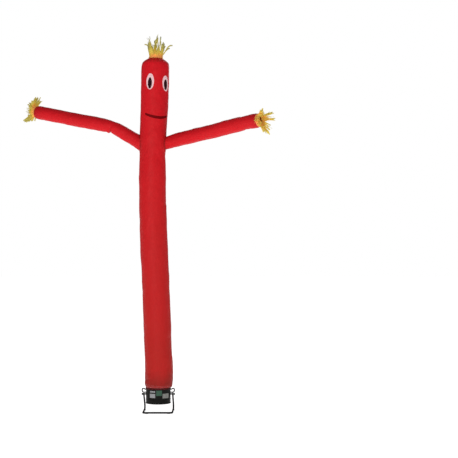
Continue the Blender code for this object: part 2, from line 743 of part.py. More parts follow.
def make_gland():
    """The gland at the back of the drum where a power lead would go in, with a blind bore."""
    start = DRUM_RADIUS + GAP
    profile = (
        (0.0, start + 0.005),
        (0.0045, start + 0.005),
        (0.0045, start + 0.020),
        (0.0080, start + 0.020),
        (0.0095, start + 0.008),
        (0.0130, start + 0.008),
        (0.0130, start),
        (0.0, start),
    )
    turn = Matrix.Rotation(math.radians(-90), 4, "X")
    add("cord_gland", moved(turned(profile, 16), Matrix.Translation((0, 0, 0.250)) @ turn), "plastic")


make_body()
make_head()
make_arms()
make_face()
make_fringes()
make_drum()
make_guard()
make_motor()
make_labels()
make_stand()
make_pivots()
make_handles()
make_feet()
make_gland()
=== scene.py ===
# %% [markdown]
# # An inflatable air dancer on its floor blower
# A drum blower stands on the floor and pushes air up a long tube of red nylon. The air holds the
# tube up, streams out along two sleeves, and leaves through vents that are dressed with strips of
# yellow cloth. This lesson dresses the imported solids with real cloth: thin sheets with creases,
# sewn seams, loose strips, and a painted steel blower.
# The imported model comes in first, because every piece has to lie on it.

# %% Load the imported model
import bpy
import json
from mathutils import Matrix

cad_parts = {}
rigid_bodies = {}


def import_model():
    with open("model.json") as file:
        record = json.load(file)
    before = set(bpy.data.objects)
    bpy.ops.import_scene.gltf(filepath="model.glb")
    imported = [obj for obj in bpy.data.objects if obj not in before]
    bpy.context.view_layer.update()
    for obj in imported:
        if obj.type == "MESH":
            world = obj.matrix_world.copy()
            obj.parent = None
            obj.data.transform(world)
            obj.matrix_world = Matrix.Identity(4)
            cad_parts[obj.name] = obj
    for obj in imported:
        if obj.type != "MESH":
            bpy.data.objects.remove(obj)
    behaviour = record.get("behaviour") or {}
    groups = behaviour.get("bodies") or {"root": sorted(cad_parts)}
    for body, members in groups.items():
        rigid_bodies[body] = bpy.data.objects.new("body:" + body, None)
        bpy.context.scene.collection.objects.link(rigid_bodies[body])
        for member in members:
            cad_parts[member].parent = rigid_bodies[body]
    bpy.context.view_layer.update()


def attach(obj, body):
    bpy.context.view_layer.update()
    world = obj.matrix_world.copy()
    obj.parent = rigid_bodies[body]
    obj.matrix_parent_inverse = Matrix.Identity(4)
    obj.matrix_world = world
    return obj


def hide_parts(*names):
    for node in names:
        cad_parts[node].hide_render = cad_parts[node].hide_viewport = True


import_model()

# %% Modules
import json
import math
import random

import bmesh
import bpy
import numpy as np
from mathutils import Matrix, Vector, noise

scene = bpy.context.scene
BLOWER = Vector((0.2, 0.164, 0.0))  # the blower's upright axis

# %% [markdown]
# ## Helpers for node trees
# Shaders and Geometry Nodes are both trees of nodes. `Tree` adds a node with one call, and links
# or sets its inputs by name. `Finish` is a Principled shader with the few steps that every
# material here is mixed from, so that each material below reads as a short recipe.


# %% Node helpers
class Tree:
    """A node tree that grows by short calls. An input takes a value, or an output socket to link."""

    def __init__(self, tree):
        self.tree = tree

    def feed(self, node, inputs):
        for key, value in inputs.items():
            socket = node.inputs[key]
            if isinstance(value, bpy.types.NodeSocket):
                self.tree.links.new(value, socket)
            else:
                socket.default_value = (*value, 1.0) if socket.type == "RGBA" else value

    def node(self, kind, inputs=None, **settings):
        made = self.tree.nodes.new(kind)
        for key, value in settings.items():
            setattr(made, key, value)
        self.feed(made, inputs or {})
        return made.outputs

    def calc(self, operation, *values, **settings):
        return self.node("ShaderNodeMath", dict(enumerate(values)), operation=operation, **settings)[0]

    def fit(self, value, low, high, to_low, to_high):
        """A value moved from one range to another, held at its ends."""
        keys = ("Value", "From Min", "From Max", "To Min", "To Max")
        return self.node("ShaderNodeMapRange", dict(zip(keys, (value, low, high, to_low, to_high))))["Result"]


class Finish(Tree):
    """A Principled material and the usual steps of its recipe."""

    def __init__(self, name, colour, roughness, specular):
        self.material = bpy.data.materials.new(name)
        self.material.use_nodes = True
        super().__init__(self.material.node_tree)
        self.shader = self.tree.nodes["Principled BSDF"]
        self.set({"Base Color": colour, "Roughness": roughness, "Specular IOR Level": specular})

    def set(self, inputs):
        self.feed(self.shader, inputs)

    def where(self, scale=(1.0, 1.0, 1.0), cloth=False):
        """Object coordinates, or the cloth's own metres from its UV map, stretched by scale."""
        source = self.node("ShaderNodeUVMap", uv_map="cloth") if cloth else self.node("ShaderNodeTexCoord")
        return self.node("ShaderNodeMapping", {"Vector": source["UV" if cloth else "Object"], "Scale": scale})[0]

    def noise(self, scale, detail=3.0, roughness=0.55, where=None):
        """Soft noise from 0 to 1."""
        inputs = {"Vector": where or self.where(), "Scale": scale, "Detail": detail, "Roughness": roughness}
        return self.node("ShaderNodeTexNoise", inputs)["Fac"]

    def mix(self, share, first, second):
        """A colour between two, by share."""
        return self.node("ShaderNodeMix", {0: share, 6: first, 7: second}, data_type="RGBA")[2]

    def bump(self, height, distance, strength):
        """A bump, distance metres deep."""
        inputs = {"Height": height, "Distance": distance, "Strength": strength}
        self.set({"Normal": self.node("ShaderNodeBump", inputs)[0]})

    def stored(self, name):
        """A number stored on the mesh."""
        return self.node("ShaderNodeAttribute", attribute_name=name)["Fac"]


print("node helpers ready")

# %% [markdown]
# ## Helpers for meshes
# A sheet of cloth is a grid of points with a UV map in metres, a turned or bent part is a stack
# of rings, and a seam is a line of loose edges. `smooth` reads a table of sizes as one soft curve.


# %% Mesh helpers
def from_bmesh(bm, outward=True):
    """Finishes a bmesh as a mesh, with its faces outwards."""
    if outward:
        bmesh.ops.recalc_face_normals(bm, faces=bm.faces[:])
    mesh = bpy.data.meshes.new("part")
    bm.to_mesh(mesh)
    bm.free()
    return mesh


def from_meshes(*meshes):
    """One bmesh from several meshes."""
    bm = bmesh.new()
    for mesh in meshes:
        bm.from_mesh(mesh)
    return bm


def from_lists(points, edges, faces):
    mesh = bpy.data.meshes.new("part")
    mesh.from_pydata(np.asarray(points, float).reshape(-1, 3).tolist(), edges, faces)
    return mesh


def store(mesh, name, values, kind="FLOAT", key="value"):
    """Keeps values on the mesh's points."""
    mesh.attributes.new(name, kind, "POINT").data.foreach_set(key, np.asarray(values, np.float32).ravel())


def piece(name, mesh, material, angle=None, shaded=True):
    """An object at the origin, from its finished mesh. Edges sharper than the angle stay sharp."""
    made = bpy.data.objects.new(name, mesh)
    scene.collection.objects.link(made)
    mesh.name = name
    mesh.materials.clear()
    mesh.materials.append(material)
    if shaded:
        mesh.shade_smooth()
    if angle:
        mesh.set_sharp_from_angle(angle=math.radians(angle))
    return made


def triangles(obj):
    """How many triangles a piece has."""
    obj.data.calc_loop_triangles()
    return len(obj.data.loop_triangles)


def unit(vectors):
    return vectors / np.linalg.norm(vectors, axis=-1, keepdims=True)


def turns_of(columns):
    """Equal turns round a circle."""
    return np.linspace(0.0, math.tau, columns, endpoint=False)


def around(first, second, turn):
    """The direction at each turn, from the first direction towards the second."""
    return first * np.cos(turn)[..., None] + second * np.sin(turn)[..., None]


def grid_faces(rows, columns, closed):
    """The faces of a grid: their rows, their columns, and their corners."""
    low, side = np.meshgrid(np.arange(rows - 1), np.arange(columns - (not closed)), indexing="ij")
    low, side = low.ravel(), side.ravel()
    here, on = low * columns + side, low * columns + (side + 1) % columns
    return low, side, np.stack([here, on, on + columns, here + columns], 1)


def sheet_mesh(points, uv, closed, dropped=None, soil_and_shade=None):
    """Cloth from a grid of points (rows, columns, 3). uv has one more column than a closed grid."""
    low, side, quads = grid_faces(*points.shape[:2], closed)
    if dropped is not None:
        kept = ~dropped[low, side]
        low, side, quads = low[kept], side[kept], quads[kept]
    mesh = from_lists(points, [], quads.tolist())
    corners = np.stack([uv[low, side], uv[low, side + 1], uv[low + 1, side + 1], uv[low + 1, side]], 1)
    mesh.uv_layers.new(name="cloth").data.foreach_set("uv", corners.astype(np.float32).ravel())
    if soil_and_shade is not None:
        store(mesh, "soil_and_shade", np.clip(soil_and_shade, 0.0, 1.0))
    return mesh


def uv_grid(across, up):
    """A UV map in metres from its columns and its rows."""
    return np.stack(np.meshgrid(across, up, indexing="xy"), -1)


def lofted(rings, caps=False):
    """A mesh through a stack of rings of points. A ring of one point is a pole."""
    bm = bmesh.new()
    made = [[bm.verts.new(point) for point in ring] for ring in rings]
    sides = max(map(len, rings))
    for low, high in zip(made, made[1:]):
        for i in range(sides):
            corners = ((low, i), (low, i + 1), (high, i + 1), (high, i))
            bm.faces.new(list(dict.fromkeys(ring[k % sides % len(ring)] for ring, k in corners)))
    if caps:
        bm.faces.new(made[0][::-1])
        bm.faces.new(made[-1])
    return from_bmesh(bm)


def lines_mesh(lines):
    """Lines of points, each (points, closed), as one mesh of loose edges."""
    points, edges = [], []
    for line, closed in lines:
        start, count = len(points), len(line)
        points.extend(line)
        edges.extend((start + i, start + (i + 1) % count) for i in range(count if closed else count - 1))
    return from_lists(points, edges, [])


def smooth(places, values, wanted):
    """Values of a table between its rows, on a curve that never overshoots them."""
    places, values = np.asarray(places, float), np.asarray(values, float)
    steps = np.diff(places)
    slopes = np.diff(values) / steps
    before, after = slopes[:-1], slopes[1:]
    mean = (before * steps[1:] + after * steps[:-1]) / (steps[1:] + steps[:-1])
    least = np.minimum(abs(mean), 2.0 * np.minimum(abs(after), abs(before)))
    tilt = np.concatenate([slopes[:1], np.where(after * before > 0, np.sign(mean) * least, 0.0), slopes[-1:]])
    wanted = np.clip(wanted, places[0], places[-1])
    row = np.clip(np.searchsorted(places, wanted) - 1, 0, len(steps) - 1)
    t = (wanted - places[row]) / steps[row]
    rise = (1 + 2 * t) * (1 - t) ** 2 * values[row] + t * (1 - t) ** 2 * steps[row] * tilt[row]
    return rise + t * t * (3 - 2 * t) * values[row + 1] - t * t * (1 - t) * steps[row] * tilt[row + 1]


def lengths_of(points):
    """The distance along a line at each of its points."""
    return np.concatenate([[0.0], np.cumsum(np.linalg.norm(np.diff(points, axis=0), axis=1))])


print("mesh helpers ready")

# %% [markdown]
# ## Camera
# The dancer is six metres tall and is seen from far away, level and nearly straight on, so that
# its upright lines stay parallel. A long lens at 21 m does that.
# The lens is worked out from how much of the scene one pixel covers at the blower's distance.

# %% Camera
PIXELS = 458
METRES_PER_PIXEL = 0.01693
CAMERA_DISTANCE = 21.0
CAMERA_HEIGHT = 3.0968
CAMERA_ASIDE = 1.197  # the dancer stands left of the middle of the picture

lens = bpy.data.cameras.new("camera")
lens.sensor_width = 36.0
lens.lens = lens.sensor_width * CAMERA_DISTANCE / (PIXELS * METRES_PER_PIXEL)
lens.clip_end = 200.0
camera = bpy.data.objects.new("camera", lens)
camera.location = (BLOWER.x + CAMERA_ASIDE, BLOWER.y - CAMERA_DISTANCE, CAMERA_HEIGHT)
camera.rotation_euler = (math.radians(90.0), 0.0, 0.0)
scene.collection.objects.link(camera)
scene.camera = camera
print("lens in mm:", round(lens.lens, 1))

# %% [markdown]
# ## Light and floor
# A bright, even studio keeps the red pure: one large soft light high on the left, a weaker one on
# the right, and a pale sky that fills the shadows. The round tube then darkens towards both of its
# edges, a little more on the right. The floor is a matt white sweep. It gives back a little light
# of its own, so that it stays as pale far away as it is near the lamps and melts into the sky.

# %% Studio
WORLD_FILL = 0.24
LAMP_SIZE = 6.0
LIGHTS = (  # name, place, watts, colour
    ("key", (-3.8, -16.0, 5.2), 915.0, (1.0, 0.98, 0.96)),
    ("fill", (7.0, -14.0, 3.6), 180.0, (0.96, 0.98, 1.0)),
    ("back", (2.0, 9.0, 9.0), 300.0, (1.0, 1.0, 1.0)),
)
LIGHT_TARGET = Vector((0.0, 0.1, 3.4))
WHITE_LIGHT = (1.0, 1.0, 1.0)

scene.world = bpy.data.worlds.new("studio")
scene.world.use_nodes = True
sky = Tree(scene.world.node_tree)
seen = sky.node("ShaderNodeLightPath")["Is Camera Ray"]
strength = sky.fit(seen, 0.0, 1.0, WORLD_FILL, 1.0)
sky.feed(sky.tree.nodes["Background"], {"Color": WHITE_LIGHT, "Strength": strength})

for label, place, watts, colour in LIGHTS:
    lamp = bpy.data.lights.new(label, "AREA")
    lamp.size, lamp.energy, lamp.color = LAMP_SIZE, watts, colour
    holder = bpy.data.objects.new(label, lamp)
    holder.location = place
    holder.rotation_euler = (LIGHT_TARGET - Vector(place)).to_track_quat("-Z", "Y").to_euler()
    scene.collection.objects.link(holder)
scene.view_settings.view_transform = "Standard"

disc = bmesh.new()
bmesh.ops.create_circle(disc, cap_ends=True, segments=96, radius=60.0)
sweep = Finish("white_sweep", (0.8, 0.8, 0.8), 0.9, 0.1)
soiled = sweep.fit(sweep.noise(0.8, 4.0), 0.3, 0.7, 0.0, 0.25)
sweep.set({
    "Base Color": sweep.mix(soiled, (0.8, 0.8, 0.8), (0.76, 0.76, 0.765)),
    "Emission Color": WHITE_LIGHT, "Emission Strength": 0.86,
})
floor = bpy.data.objects.new("floor", from_bmesh(disc, outward=False))
floor.data.materials.append(sweep.material)
floor.location.z = -0.0005
scene.collection.objects.link(floor)
print("lights:", [row[0] for row in LIGHTS])

# %% [markdown]
# ## Nylon
# The cloth is thin woven nylon. Close up it is a fine weave with a small square rip-stop grid, and
# it has a dull shine. Far off it is a clean red that dulls and darkens towards the ground, partly dust
# and partly painted shade, and shows slow clouds of painted shade where the cloth isn't quite taut.
# The grid follows the cloth, so it reads the UV map, which is laid out in real metres.


# %% Nylon
RIPSTOP = 0.0075  # one square of the grid
THREAD = 0.0012  # one thread pair of the weave
HEM_SHADE = (0.423, 0.43)  # below the first height the black drum shows through the hem
HEM_COLOUR = (0.032, 0.001, 0.001)
SEAM_COLOUR = (0.3, 0.05, 0.052)  # the casing is thick and rubbed pale
# darkening for soil at seams and hands, and painted shade in creases, in folds and just above the casing
SOIL_AND_SHADE_COLOUR = (0.19, 0.014, 0.01)
# dust and painted shade: the red is duller and darker towards the ground
DUST_AND_SHADE_HEIGHTS = (0.1, 5.9)  # the red is dullest at the first, and clean above the second


def ripstop(f):
    """1 on the thicker threads of the grid, 0 between them."""
    apart = f.node("ShaderNodeSeparateXYZ", {0: f.where((1 / RIPSTOP,) * 3, cloth=True)})
    lines = [f.fit(f.calc("PINGPONG", apart[way], 0.5), 0.0, 0.1, 1.0, 0.0) for way in ("X", "Y")]
    return f.calc("MAXIMUM", *lines)


def weave(f):
    """The over and under of the threads, from 0 to 1."""
    apart = f.node("ShaderNodeSeparateXYZ", {0: f.where((math.tau / THREAD,) * 3, cloth=True)})
    waves = [f.calc("SINE", apart[way]) for way in ("X", "Y")]
    return f.fit(f.calc("MULTIPLY", *waves), -1.0, 1.0, 0.0, 1.0)


def nylon(name, clean, dusty, shade, roughness=0.5):
    """Woven nylon: clean above, dusty and painted darker below, with clouds of painted shade."""
    f = Finish(name, clean, roughness, 0.1)
    height = f.node("ShaderNodeSeparateXYZ", {0: f.where()})["Z"]
    clouds = f.noise(3.2, 4.0, where=f.where((1.0, 1.0, 0.45)))
    dust_and_shade_level, splash_and_shade_level = (f.calc("ADD", height, f.fit(clouds, 0.3, 0.7, -s, s)) for s in (0.5, 0.06))
    seam_low, seam_high = f.fit(height, 0.422, 0.428, 0.0, 0.3), f.fit(height, 0.462, 0.468, 1.0, 0.0)
    grid = ripstop(f)
    colour = clean
    for share, other in (
        # duller and darker towards the ground: dust and painted shade
        (f.calc("POWER", f.fit(dust_and_shade_level, *DUST_AND_SHADE_HEIGHTS, 1.0, 0.0), 1.25), dusty),
        # darker just above the casing: soil and painted shade of the gathered cloth there
        (f.fit(splash_and_shade_level, 0.46, 0.72, 0.74, 0.0), SOIL_AND_SHADE_COLOUR),
        # the stored soil and painted shade of seams, hands, creases and folds
        (f.stored("soil_and_shade"), SOIL_AND_SHADE_COLOUR),
        # slow clouds of painted shade where the cloth is slack
        (f.fit(f.noise(9.0, 6.0, 0.7), 0.4, 0.7, 0.0, 0.32), shade),
        (f.fit(height, *HEM_SHADE, 0.95, 0.0), HEM_COLOUR),
        (f.calc("MULTIPLY", seam_low, seam_high), SEAM_COLOUR),
        (f.calc("MULTIPLY", grid, 0.1), shade),
    ):
        colour = f.mix(share, colour, other)
    wrinkle = f.noise(26.0, 4.0, 0.5, f.where((1.0, 0.35, 1.0), cloth=True))
    gloss = f.fit(wrinkle, 0.3, 0.7, roughness - 0.06, roughness + 0.08)
    f.set({"Base Color": colour, "Roughness": gloss})
    fine = f.calc("ADD", f.calc("MULTIPLY", weave(f), 0.02), f.calc("MULTIPLY", grid, 0.05))
    f.bump(f.calc("ADD", wrinkle, fine), 0.006, 0.6)
    return f.material


# the second colour is the dust and painted shade near the ground, the third the painted shade of the clouds and the
# grid's threads
RED = nylon("red_nylon", (0.622, 0.0066, 0.014), (0.39, 0.0165, 0.0115), (0.43, 0.007, 0.011))
print("nylon:", RED.name, len(RED.node_tree.nodes), "nodes")

# %% [markdown]
# ## Patch cloth and fringe cloth
# The eyes and the mouth are plain woven cloth, so they share one recipe with other colours.
# The fringe is cut from thin yellow cloth. Its roots are painted orange, a painted glow of the red
# it is bunched over. It is yellow in the middle, and greys towards the tips, where dust settles and
# where light coming through the thin cloth is painted in. It also gives out a painted glow.
# Each strip carries two attributes: `along` runs from root to tip, and `tone` differs per strip.


# %% Patch and fringe cloth
# the orange roots are a painted glow of the red around them, the grey tips dust and painted light through the cloth
FRINGE_COLOURS = (
    (0.0, (0.96, 0.43, 0.13)), (0.1, (0.92, 0.53, 0.095)), (0.28, (0.77, 0.62, 0.115)),
    (0.7, (0.56, 0.51, 0.14)), (1.0, (0.29, 0.3, 0.19)),
)
FRINGE_SHADE = (0.33, 0.24, 0.045)


def patch_cloth(name, colour, shade, specular=0.1):
    """Plain weave with slow clouds, for the sewn-on pieces."""
    f = Finish(name, colour, 0.6, specular)
    f.set({"Base Color": f.mix(f.fit(f.noise(14.0, 5.0), 0.35, 0.7, 0.0, 0.6), colour, shade)})
    threads = f.calc("MULTIPLY", weave(f), 0.15)
    f.bump(f.calc("ADD", f.noise(60.0, where=f.where(cloth=True)), threads), 0.0015, 0.5)
    return f.material


def fringe_cloth():
    """Thin yellow cloth, cut in strips."""
    f = Finish("fringe_nylon", FRINGE_COLOURS[2][1], 0.5, 0.12)
    ramp = f.tree.nodes.new("ShaderNodeValToRGB")
    spread = f.fit(f.stored("tone"), 0.0, 1.0, -0.16, 0.16)
    f.feed(ramp, {"Fac": f.calc("ADD", f.stored("along"), spread, use_clamp=True)})
    marks = ramp.color_ramp.elements
    while len(marks) < len(FRINGE_COLOURS):
        marks.new(1.0)
    for mark, (place, colour) in zip(marks, FRINGE_COLOURS):
        mark.position, mark.color = place, (*colour, 1.0)
    streak = f.fit(f.noise(30.0, where=f.where((1.0, 1.0, 0.4))), 0.35, 0.7, 0.0, 0.5)
    dye_and_glow = f.mix(streak, ramp.outputs["Color"], FRINGE_SHADE)
    f.set({"Base Color": dye_and_glow, "Emission Color": dye_and_glow, "Emission Strength": 0.24})  # painted glow: the strips give out light of their own, which lifts them where they bunch in shade
    f.bump(f.noise(220.0), 0.0015, 0.5)
    glow = f.node("ShaderNodeBsdfTranslucent", {"Color": dye_and_glow})[0]  # thin cloth lets some light through
    lit = f.node("ShaderNodeMixShader", {0: 0.38, 1: f.shader.outputs[0], 2: glow})[0]
    f.feed(f.tree.nodes["Material Output"], {"Surface": lit})
    return f.material


WHITE = patch_cloth("white_cloth", (0.88, 0.57, 0.6), (0.74, 0.44, 0.47))
BLACK = patch_cloth("black_cloth", (0.026, 0.004, 0.006), (0.012, 0.003, 0.004), 0.04)
MAROON = patch_cloth("maroon_cloth", (0.165, 0.0012, 0.0024), (0.12, 0.001, 0.002), 0.04)
YELLOW = fringe_cloth()
print("cloth finishes:", [m.name for m in (RED, WHITE, BLACK, MAROON, YELLOW)])

# %% [markdown]
# ## Painted steel, plastic and rubber
# The blower is rolled steel with satin black paint: faint orange peel, a little dust, and bare
# metal where edges rub. The wear is found with Pointiness, which is high on outer edges.
# The handles and knobs are moulded plastic with a fine grain, and the feet are dull rubber.


# %% Hard finishes
BARE_METAL = (0.32, 0.32, 0.33)


def painted(name, colour, roughness, worn=0.35, dusty=(0.075, 0.07, 0.062), specular=0.08):
    """Satin paint with orange peel, dust and rubbed edges."""
    f = Finish(name, colour, roughness, specular)
    edge = f.fit(f.node("ShaderNodeNewGeometry")["Pointiness"], 0.53, 0.6, 0.0, 1.0)
    patchy = f.noise(70.0, 5.0, 0.7)
    rubbed = f.calc("MULTIPLY", edge, f.fit(patchy, 0.45, 0.6, 0.0, worn))
    haze = f.fit(f.noise(7.0, 5.0), 0.4, 0.75, 0.0, 0.35)
    gloss = f.fit(patchy, 0.3, 0.7, roughness - 0.06, roughness + 0.14)
    f.set({"Base Color": f.mix(rubbed, f.mix(haze, colour, dusty), BARE_METAL), "Roughness": gloss})
    f.bump(f.noise(420.0, 2.0), 0.0004, 0.35)
    return f.material


def moulded(name, colour, roughness, grain=900.0, depth=0.0004):
    """Moulded plastic or rubber with a fine grain and faint scuffs."""
    f = Finish(name, colour, roughness, 0.16)
    scuffs = f.fit(f.noise(45.0, 6.0, 0.65), 0.5, 0.75, 0.0, 0.5)
    f.set({"Base Color": f.mix(scuffs, colour, tuple(0.7 * c + 0.012 for c in colour))})
    f.bump(f.noise(grain, 2.0), depth, 0.6)
    return f.material


def sticker(name, colour, faded):
    """A bare vinyl sticker, a little faded and scuffed."""
    f = Finish(name, colour, 0.42, 0.2)
    f.set({"Base Color": f.mix(f.fit(f.noise(38.0, 6.0, 0.7), 0.4, 0.7, 0.0, 0.8), colour, faded)})
    f.bump(f.noise(60.0), 0.0008, 0.3)
    return f.material


DRUM_PAINT = painted("drum_paint", (0.0048, 0.0048, 0.0044), 0.42, dusty=(0.022, 0.022, 0.019))
STAND_PAINT = painted(
    "stand_paint", (0.0012, 0.0012, 0.0013), 0.55, worn=0.1, dusty=(0.006, 0.006, 0.006), specular=0.03
)
STEEL = painted("grey_steel", (0.085, 0.086, 0.09), 0.4, worn=0.6)
SCREW_STEEL = painted("screw_steel", (0.22, 0.22, 0.23), 0.32, worn=0.5)
PLASTIC = moulded("black_plastic", (0.003, 0.003, 0.0033), 0.48)
RUBBER = moulded("black_rubber", (0.018, 0.018, 0.018), 0.85, grain=500.0, depth=0.0008)
WHITE_STICKER = sticker("white_sticker", (0.3, 0.305, 0.32), (0.2, 0.2, 0.21))
DULL_STICKER = sticker("dull_sticker", (0.215, 0.22, 0.205), (0.14, 0.142, 0.135))
GREEN_STICKER = sticker("green_sticker", (0.038, 0.1, 0.064), (0.022, 0.056, 0.038))
print("hard finishes:", [m.name for m in (DRUM_PAINT, STAND_PAINT, STEEL, PLASTIC, RUBBER)])

# %% [markdown]
# ## The body tube
# On the real dancer the body is one long tube, cut from a flat length of nylon and closed with one
# seam down its back. A casing at its foot is drawn in over the blower's drum, and a short hem hangs
# below the casing. Its shape is a table of heights: where the middle of the tube is, and how wide
# it is there. The air keeps it round, so every row is a ring.


# %% Body table
# (height, sideways, backwards, radius), from the blower's axis
BODY_ROWS = np.array((
    (0.397, 0.0, 0.0, 0.2116), (0.426, 0.0, 0.0, 0.2113), (0.433, 0.0, 0.0, 0.215), (0.444, 0.001, 0.0, 0.2245),
    (0.462, 0.003, 0.0, 0.2315), (0.5, 0.007, 0.0, 0.2345), (0.56, 0.011, 0.0, 0.235), (0.676, 0.013, 0.0, 0.2348),
    (1.082, -0.002, -0.004, 0.2319), (1.488, -0.015, -0.008, 0.229), (1.895, -0.032, -0.012, 0.2286),
    (2.301, -0.047, -0.015, 0.2294), (2.707, -0.067, -0.016, 0.2286), (3.114, -0.081, -0.015, 0.23),
    (3.52, -0.094, -0.012, 0.2255), (3.926, -0.098, -0.008, 0.227), (4.2, -0.097, -0.004, 0.22),
    (4.345, -0.096, 0.0, 0.2152), (4.48, -0.094, 0.004, 0.219), (4.7, -0.089, 0.012, 0.2222),
    (4.942, -0.079, 0.022, 0.2255), (5.145, -0.07, 0.032, 0.2302), (5.348, -0.064, 0.044, 0.233),
    (5.56, -0.059, 0.058, 0.2352), (5.755, -0.0542, 0.0735, 0.2348), (5.86, -0.0515, 0.082, 0.232),
    (5.9, -0.0505, 0.0852, 0.225),
))
HEM_FOOT, CASING_FOOT, CASING_TOP, HEAD_SEAM = 0.397, 0.4265, 0.464, 5.9
BODY_COLUMNS = 144


def body_sizes(height):
    """Middle (x, y) and radius of the body at these heights."""
    x, y, r = (smooth(BODY_ROWS[:, 0], BODY_ROWS[:, k], height) for k in (1, 2, 3))
    return x + BLOWER.x, y + BLOWER.y, r


def body_frame(height):
    """The ring's own across, backwards and upwards directions, which lean with the tube."""
    low, high = np.maximum(height - 0.02, HEM_FOOT), np.minimum(height + 0.02, HEAD_SEAM)
    (x0, y0, _), (x1, y1, _) = body_sizes(low), body_sizes(high)
    up = unit(np.stack([(x1 - x0) / (high - low), (y1 - y0) / (high - low), np.ones_like(low)], -1))
    across = unit(np.stack([up[..., 2], np.zeros_like(low), -up[..., 0]], -1))
    return across, np.cross(up, across), up


def body_skin(height, turn, lift=0.0):
    """Points on the smooth tube. turn runs from the front towards the dancer's right-hand side."""
    height, turn = np.broadcast_arrays(np.asarray(height, float), np.asarray(turn, float))
    x, y, r = body_sizes(height)
    across, back, _ = body_frame(height)
    out = around(-back, across, turn)
    return np.stack([x, y, height], -1) + out * (r + lift)[..., None], out


print("body rows:", len(BODY_ROWS))

# %% [markdown]
# ## The sleeves' paths
# Each sleeve is a tube on its own bent path. The rows give the path's points and how wide the
# sleeve is there. The left one has an elbow, drawn in on its hollow side, and the right one is
# pinched just behind the hand.

# %% Sleeve tables
# (sideways, backwards, height, radius), from the blower's axis
SLEEVE_ROWS = {
    "left": (
        (-0.15, 0.015, 4.469, 0.124), (-0.3, 0.052, 4.557, 0.123), (-0.35, 0.064, 4.587, 0.115),
        (-0.425, 0.082, 4.63, 0.1095), (-0.56, 0.115, 4.709, 0.108), (-0.665, 0.142, 4.772, 0.1075),
        (-0.726, 0.157, 4.806, 0.105), (-0.785, 0.172, 4.832, 0.102), (-0.85, 0.19, 4.852, 0.106),
        (-0.95, 0.221, 4.877, 0.111), (-1.101, 0.272, 4.909, 0.1135), (-1.334, 0.359, 4.956, 0.1135),
        (-1.54, 0.436, 5.001, 0.112), (-1.76, 0.518, 5.05, 0.113), (-1.98, 0.599, 5.098, 0.114),
        (-2.1, 0.644, 5.125, 0.1135), (-2.138, 0.658, 5.133, 0.108), (-2.166, 0.669, 5.139, 0.0925),
    ),
    "right": (
        (-0.042, 0.03, 4.501, 0.101), (0.12, 0.012, 4.547, 0.1025), (0.173, 0.001, 4.561, 0.1055),
        (0.241, -0.023, 4.58, 0.1095), (0.336, -0.068, 4.604, 0.113), (0.491, -0.163, 4.636, 0.1145),
        (0.73, -0.333, 4.68, 0.115), (0.982, -0.526, 4.724, 0.1155), (1.213, -0.704, 4.772, 0.1165),
        (1.376, -0.824, 4.803, 0.1155), (1.456, -0.882, 4.819, 0.1095), (1.529, -0.931, 4.83, 0.112),
        (1.592, -0.974, 4.837, 0.116), (1.64, -1.007, 4.842, 0.115), (1.674, -1.029, 4.847, 0.107),
    ),
}
SLEEVE_COLUMNS = 80


class Sleeve:
    """A sleeve's path. At each distance along it: the middle, the radius, and the ring's directions."""

    def __init__(self, rows):
        self.rows = np.array(rows)
        self.rows[:, :3] += np.array(BLOWER)
        self.places = lengths_of(self.rows[:, :3])
        self.length = self.places[-1]

    def middle(self, s):
        return np.stack([smooth(self.places, self.rows[:, k], s) for k in range(3)], -1)

    def radius(self, s):
        return smooth(self.places, self.rows[:, 3], s)

    def skin(self, s, turn, lift=0.0):
        """Points on the smooth sleeve. turn is 0 on top."""
        s, turn = np.broadcast_arrays(np.asarray(s, float), np.asarray(turn, float))
        ahead = unit(self.middle(np.minimum(s + 0.015, self.length)) - self.middle(np.maximum(s - 0.015, 0.0)))
        front = unit(np.cross(ahead, (0.0, 0.0, 1.0)))
        out = around(np.cross(front, ahead), front, turn)
        return self.middle(s) + out * (self.radius(s) + lift)[..., None]


def outside_body(points):
    """How far points lie outside the body tube's skin, level with them."""
    x, y, r = body_sizes(np.clip(points[..., 2], HEM_FOOT, HEAD_SEAM))
    return np.hypot(points[..., 0] - x, points[..., 1] - y) - r


def sleeve_start(sleeve, turns):
    """The distance along the sleeve at which each of its lines comes out of the body."""
    tries = np.linspace(0.0, 0.45, 226)
    inside = outside_body(sleeve.skin(tries[:, None], turns)) < 0.0
    last = len(tries) - 1 - np.argmax(inside[::-1], axis=0)
    low, high = tries[last], tries[np.minimum(last + 1, len(tries) - 1)]
    for _ in range(20):
        half = 0.5 * (low + high)
        buried = outside_body(sleeve.skin(half, turns)) < 0.0
        low, high = np.where(buried, half, low), np.where(buried, high, half)
    return high


SLEEVE_TURNS = turns_of(SLEEVE_COLUMNS)
SLEEVES = {side: Sleeve(rows) for side, rows in SLEEVE_ROWS.items()}
STARTS = {side: sleeve_start(sleeve, SLEEVE_TURNS) for side, sleeve in SLEEVES.items()}
JOINS = {side: sleeve.skin(STARTS[side], SLEEVE_TURNS) for side, sleeve in SLEEVES.items()}
for side, sleeve in SLEEVES.items():
    print(side, "sleeve:", round(sleeve.length, 3), "m, joins the body over", np.round(np.ptp(JOINS[side], axis=0), 3))

# %% [markdown]
# ## Creases
# Cloth that is held up by air is never a perfect tube. Three things shape it: slow waves where it
# isn't quite taut, a few listed creases where the tube bends, and small puckers where a seam
# gathers it. Each is a soft trough or ridge, so they can simply be added up and pushed outwards
# along the tube's own rings.


# %% Crease helpers
def clouds(points, size, seed, octaves=3):
    """Soft seeded noise from -1 to 1 at each point, with features about size metres wide."""
    shift = Vector((seed * 7.31, seed * 3.17, seed * 5.71))
    found = [noise.fractal(Vector(p) / size + shift, 1.0, 2.0, octaves) for p in points.reshape(-1, 3)]
    return np.array(found).reshape(points.shape[:-1])


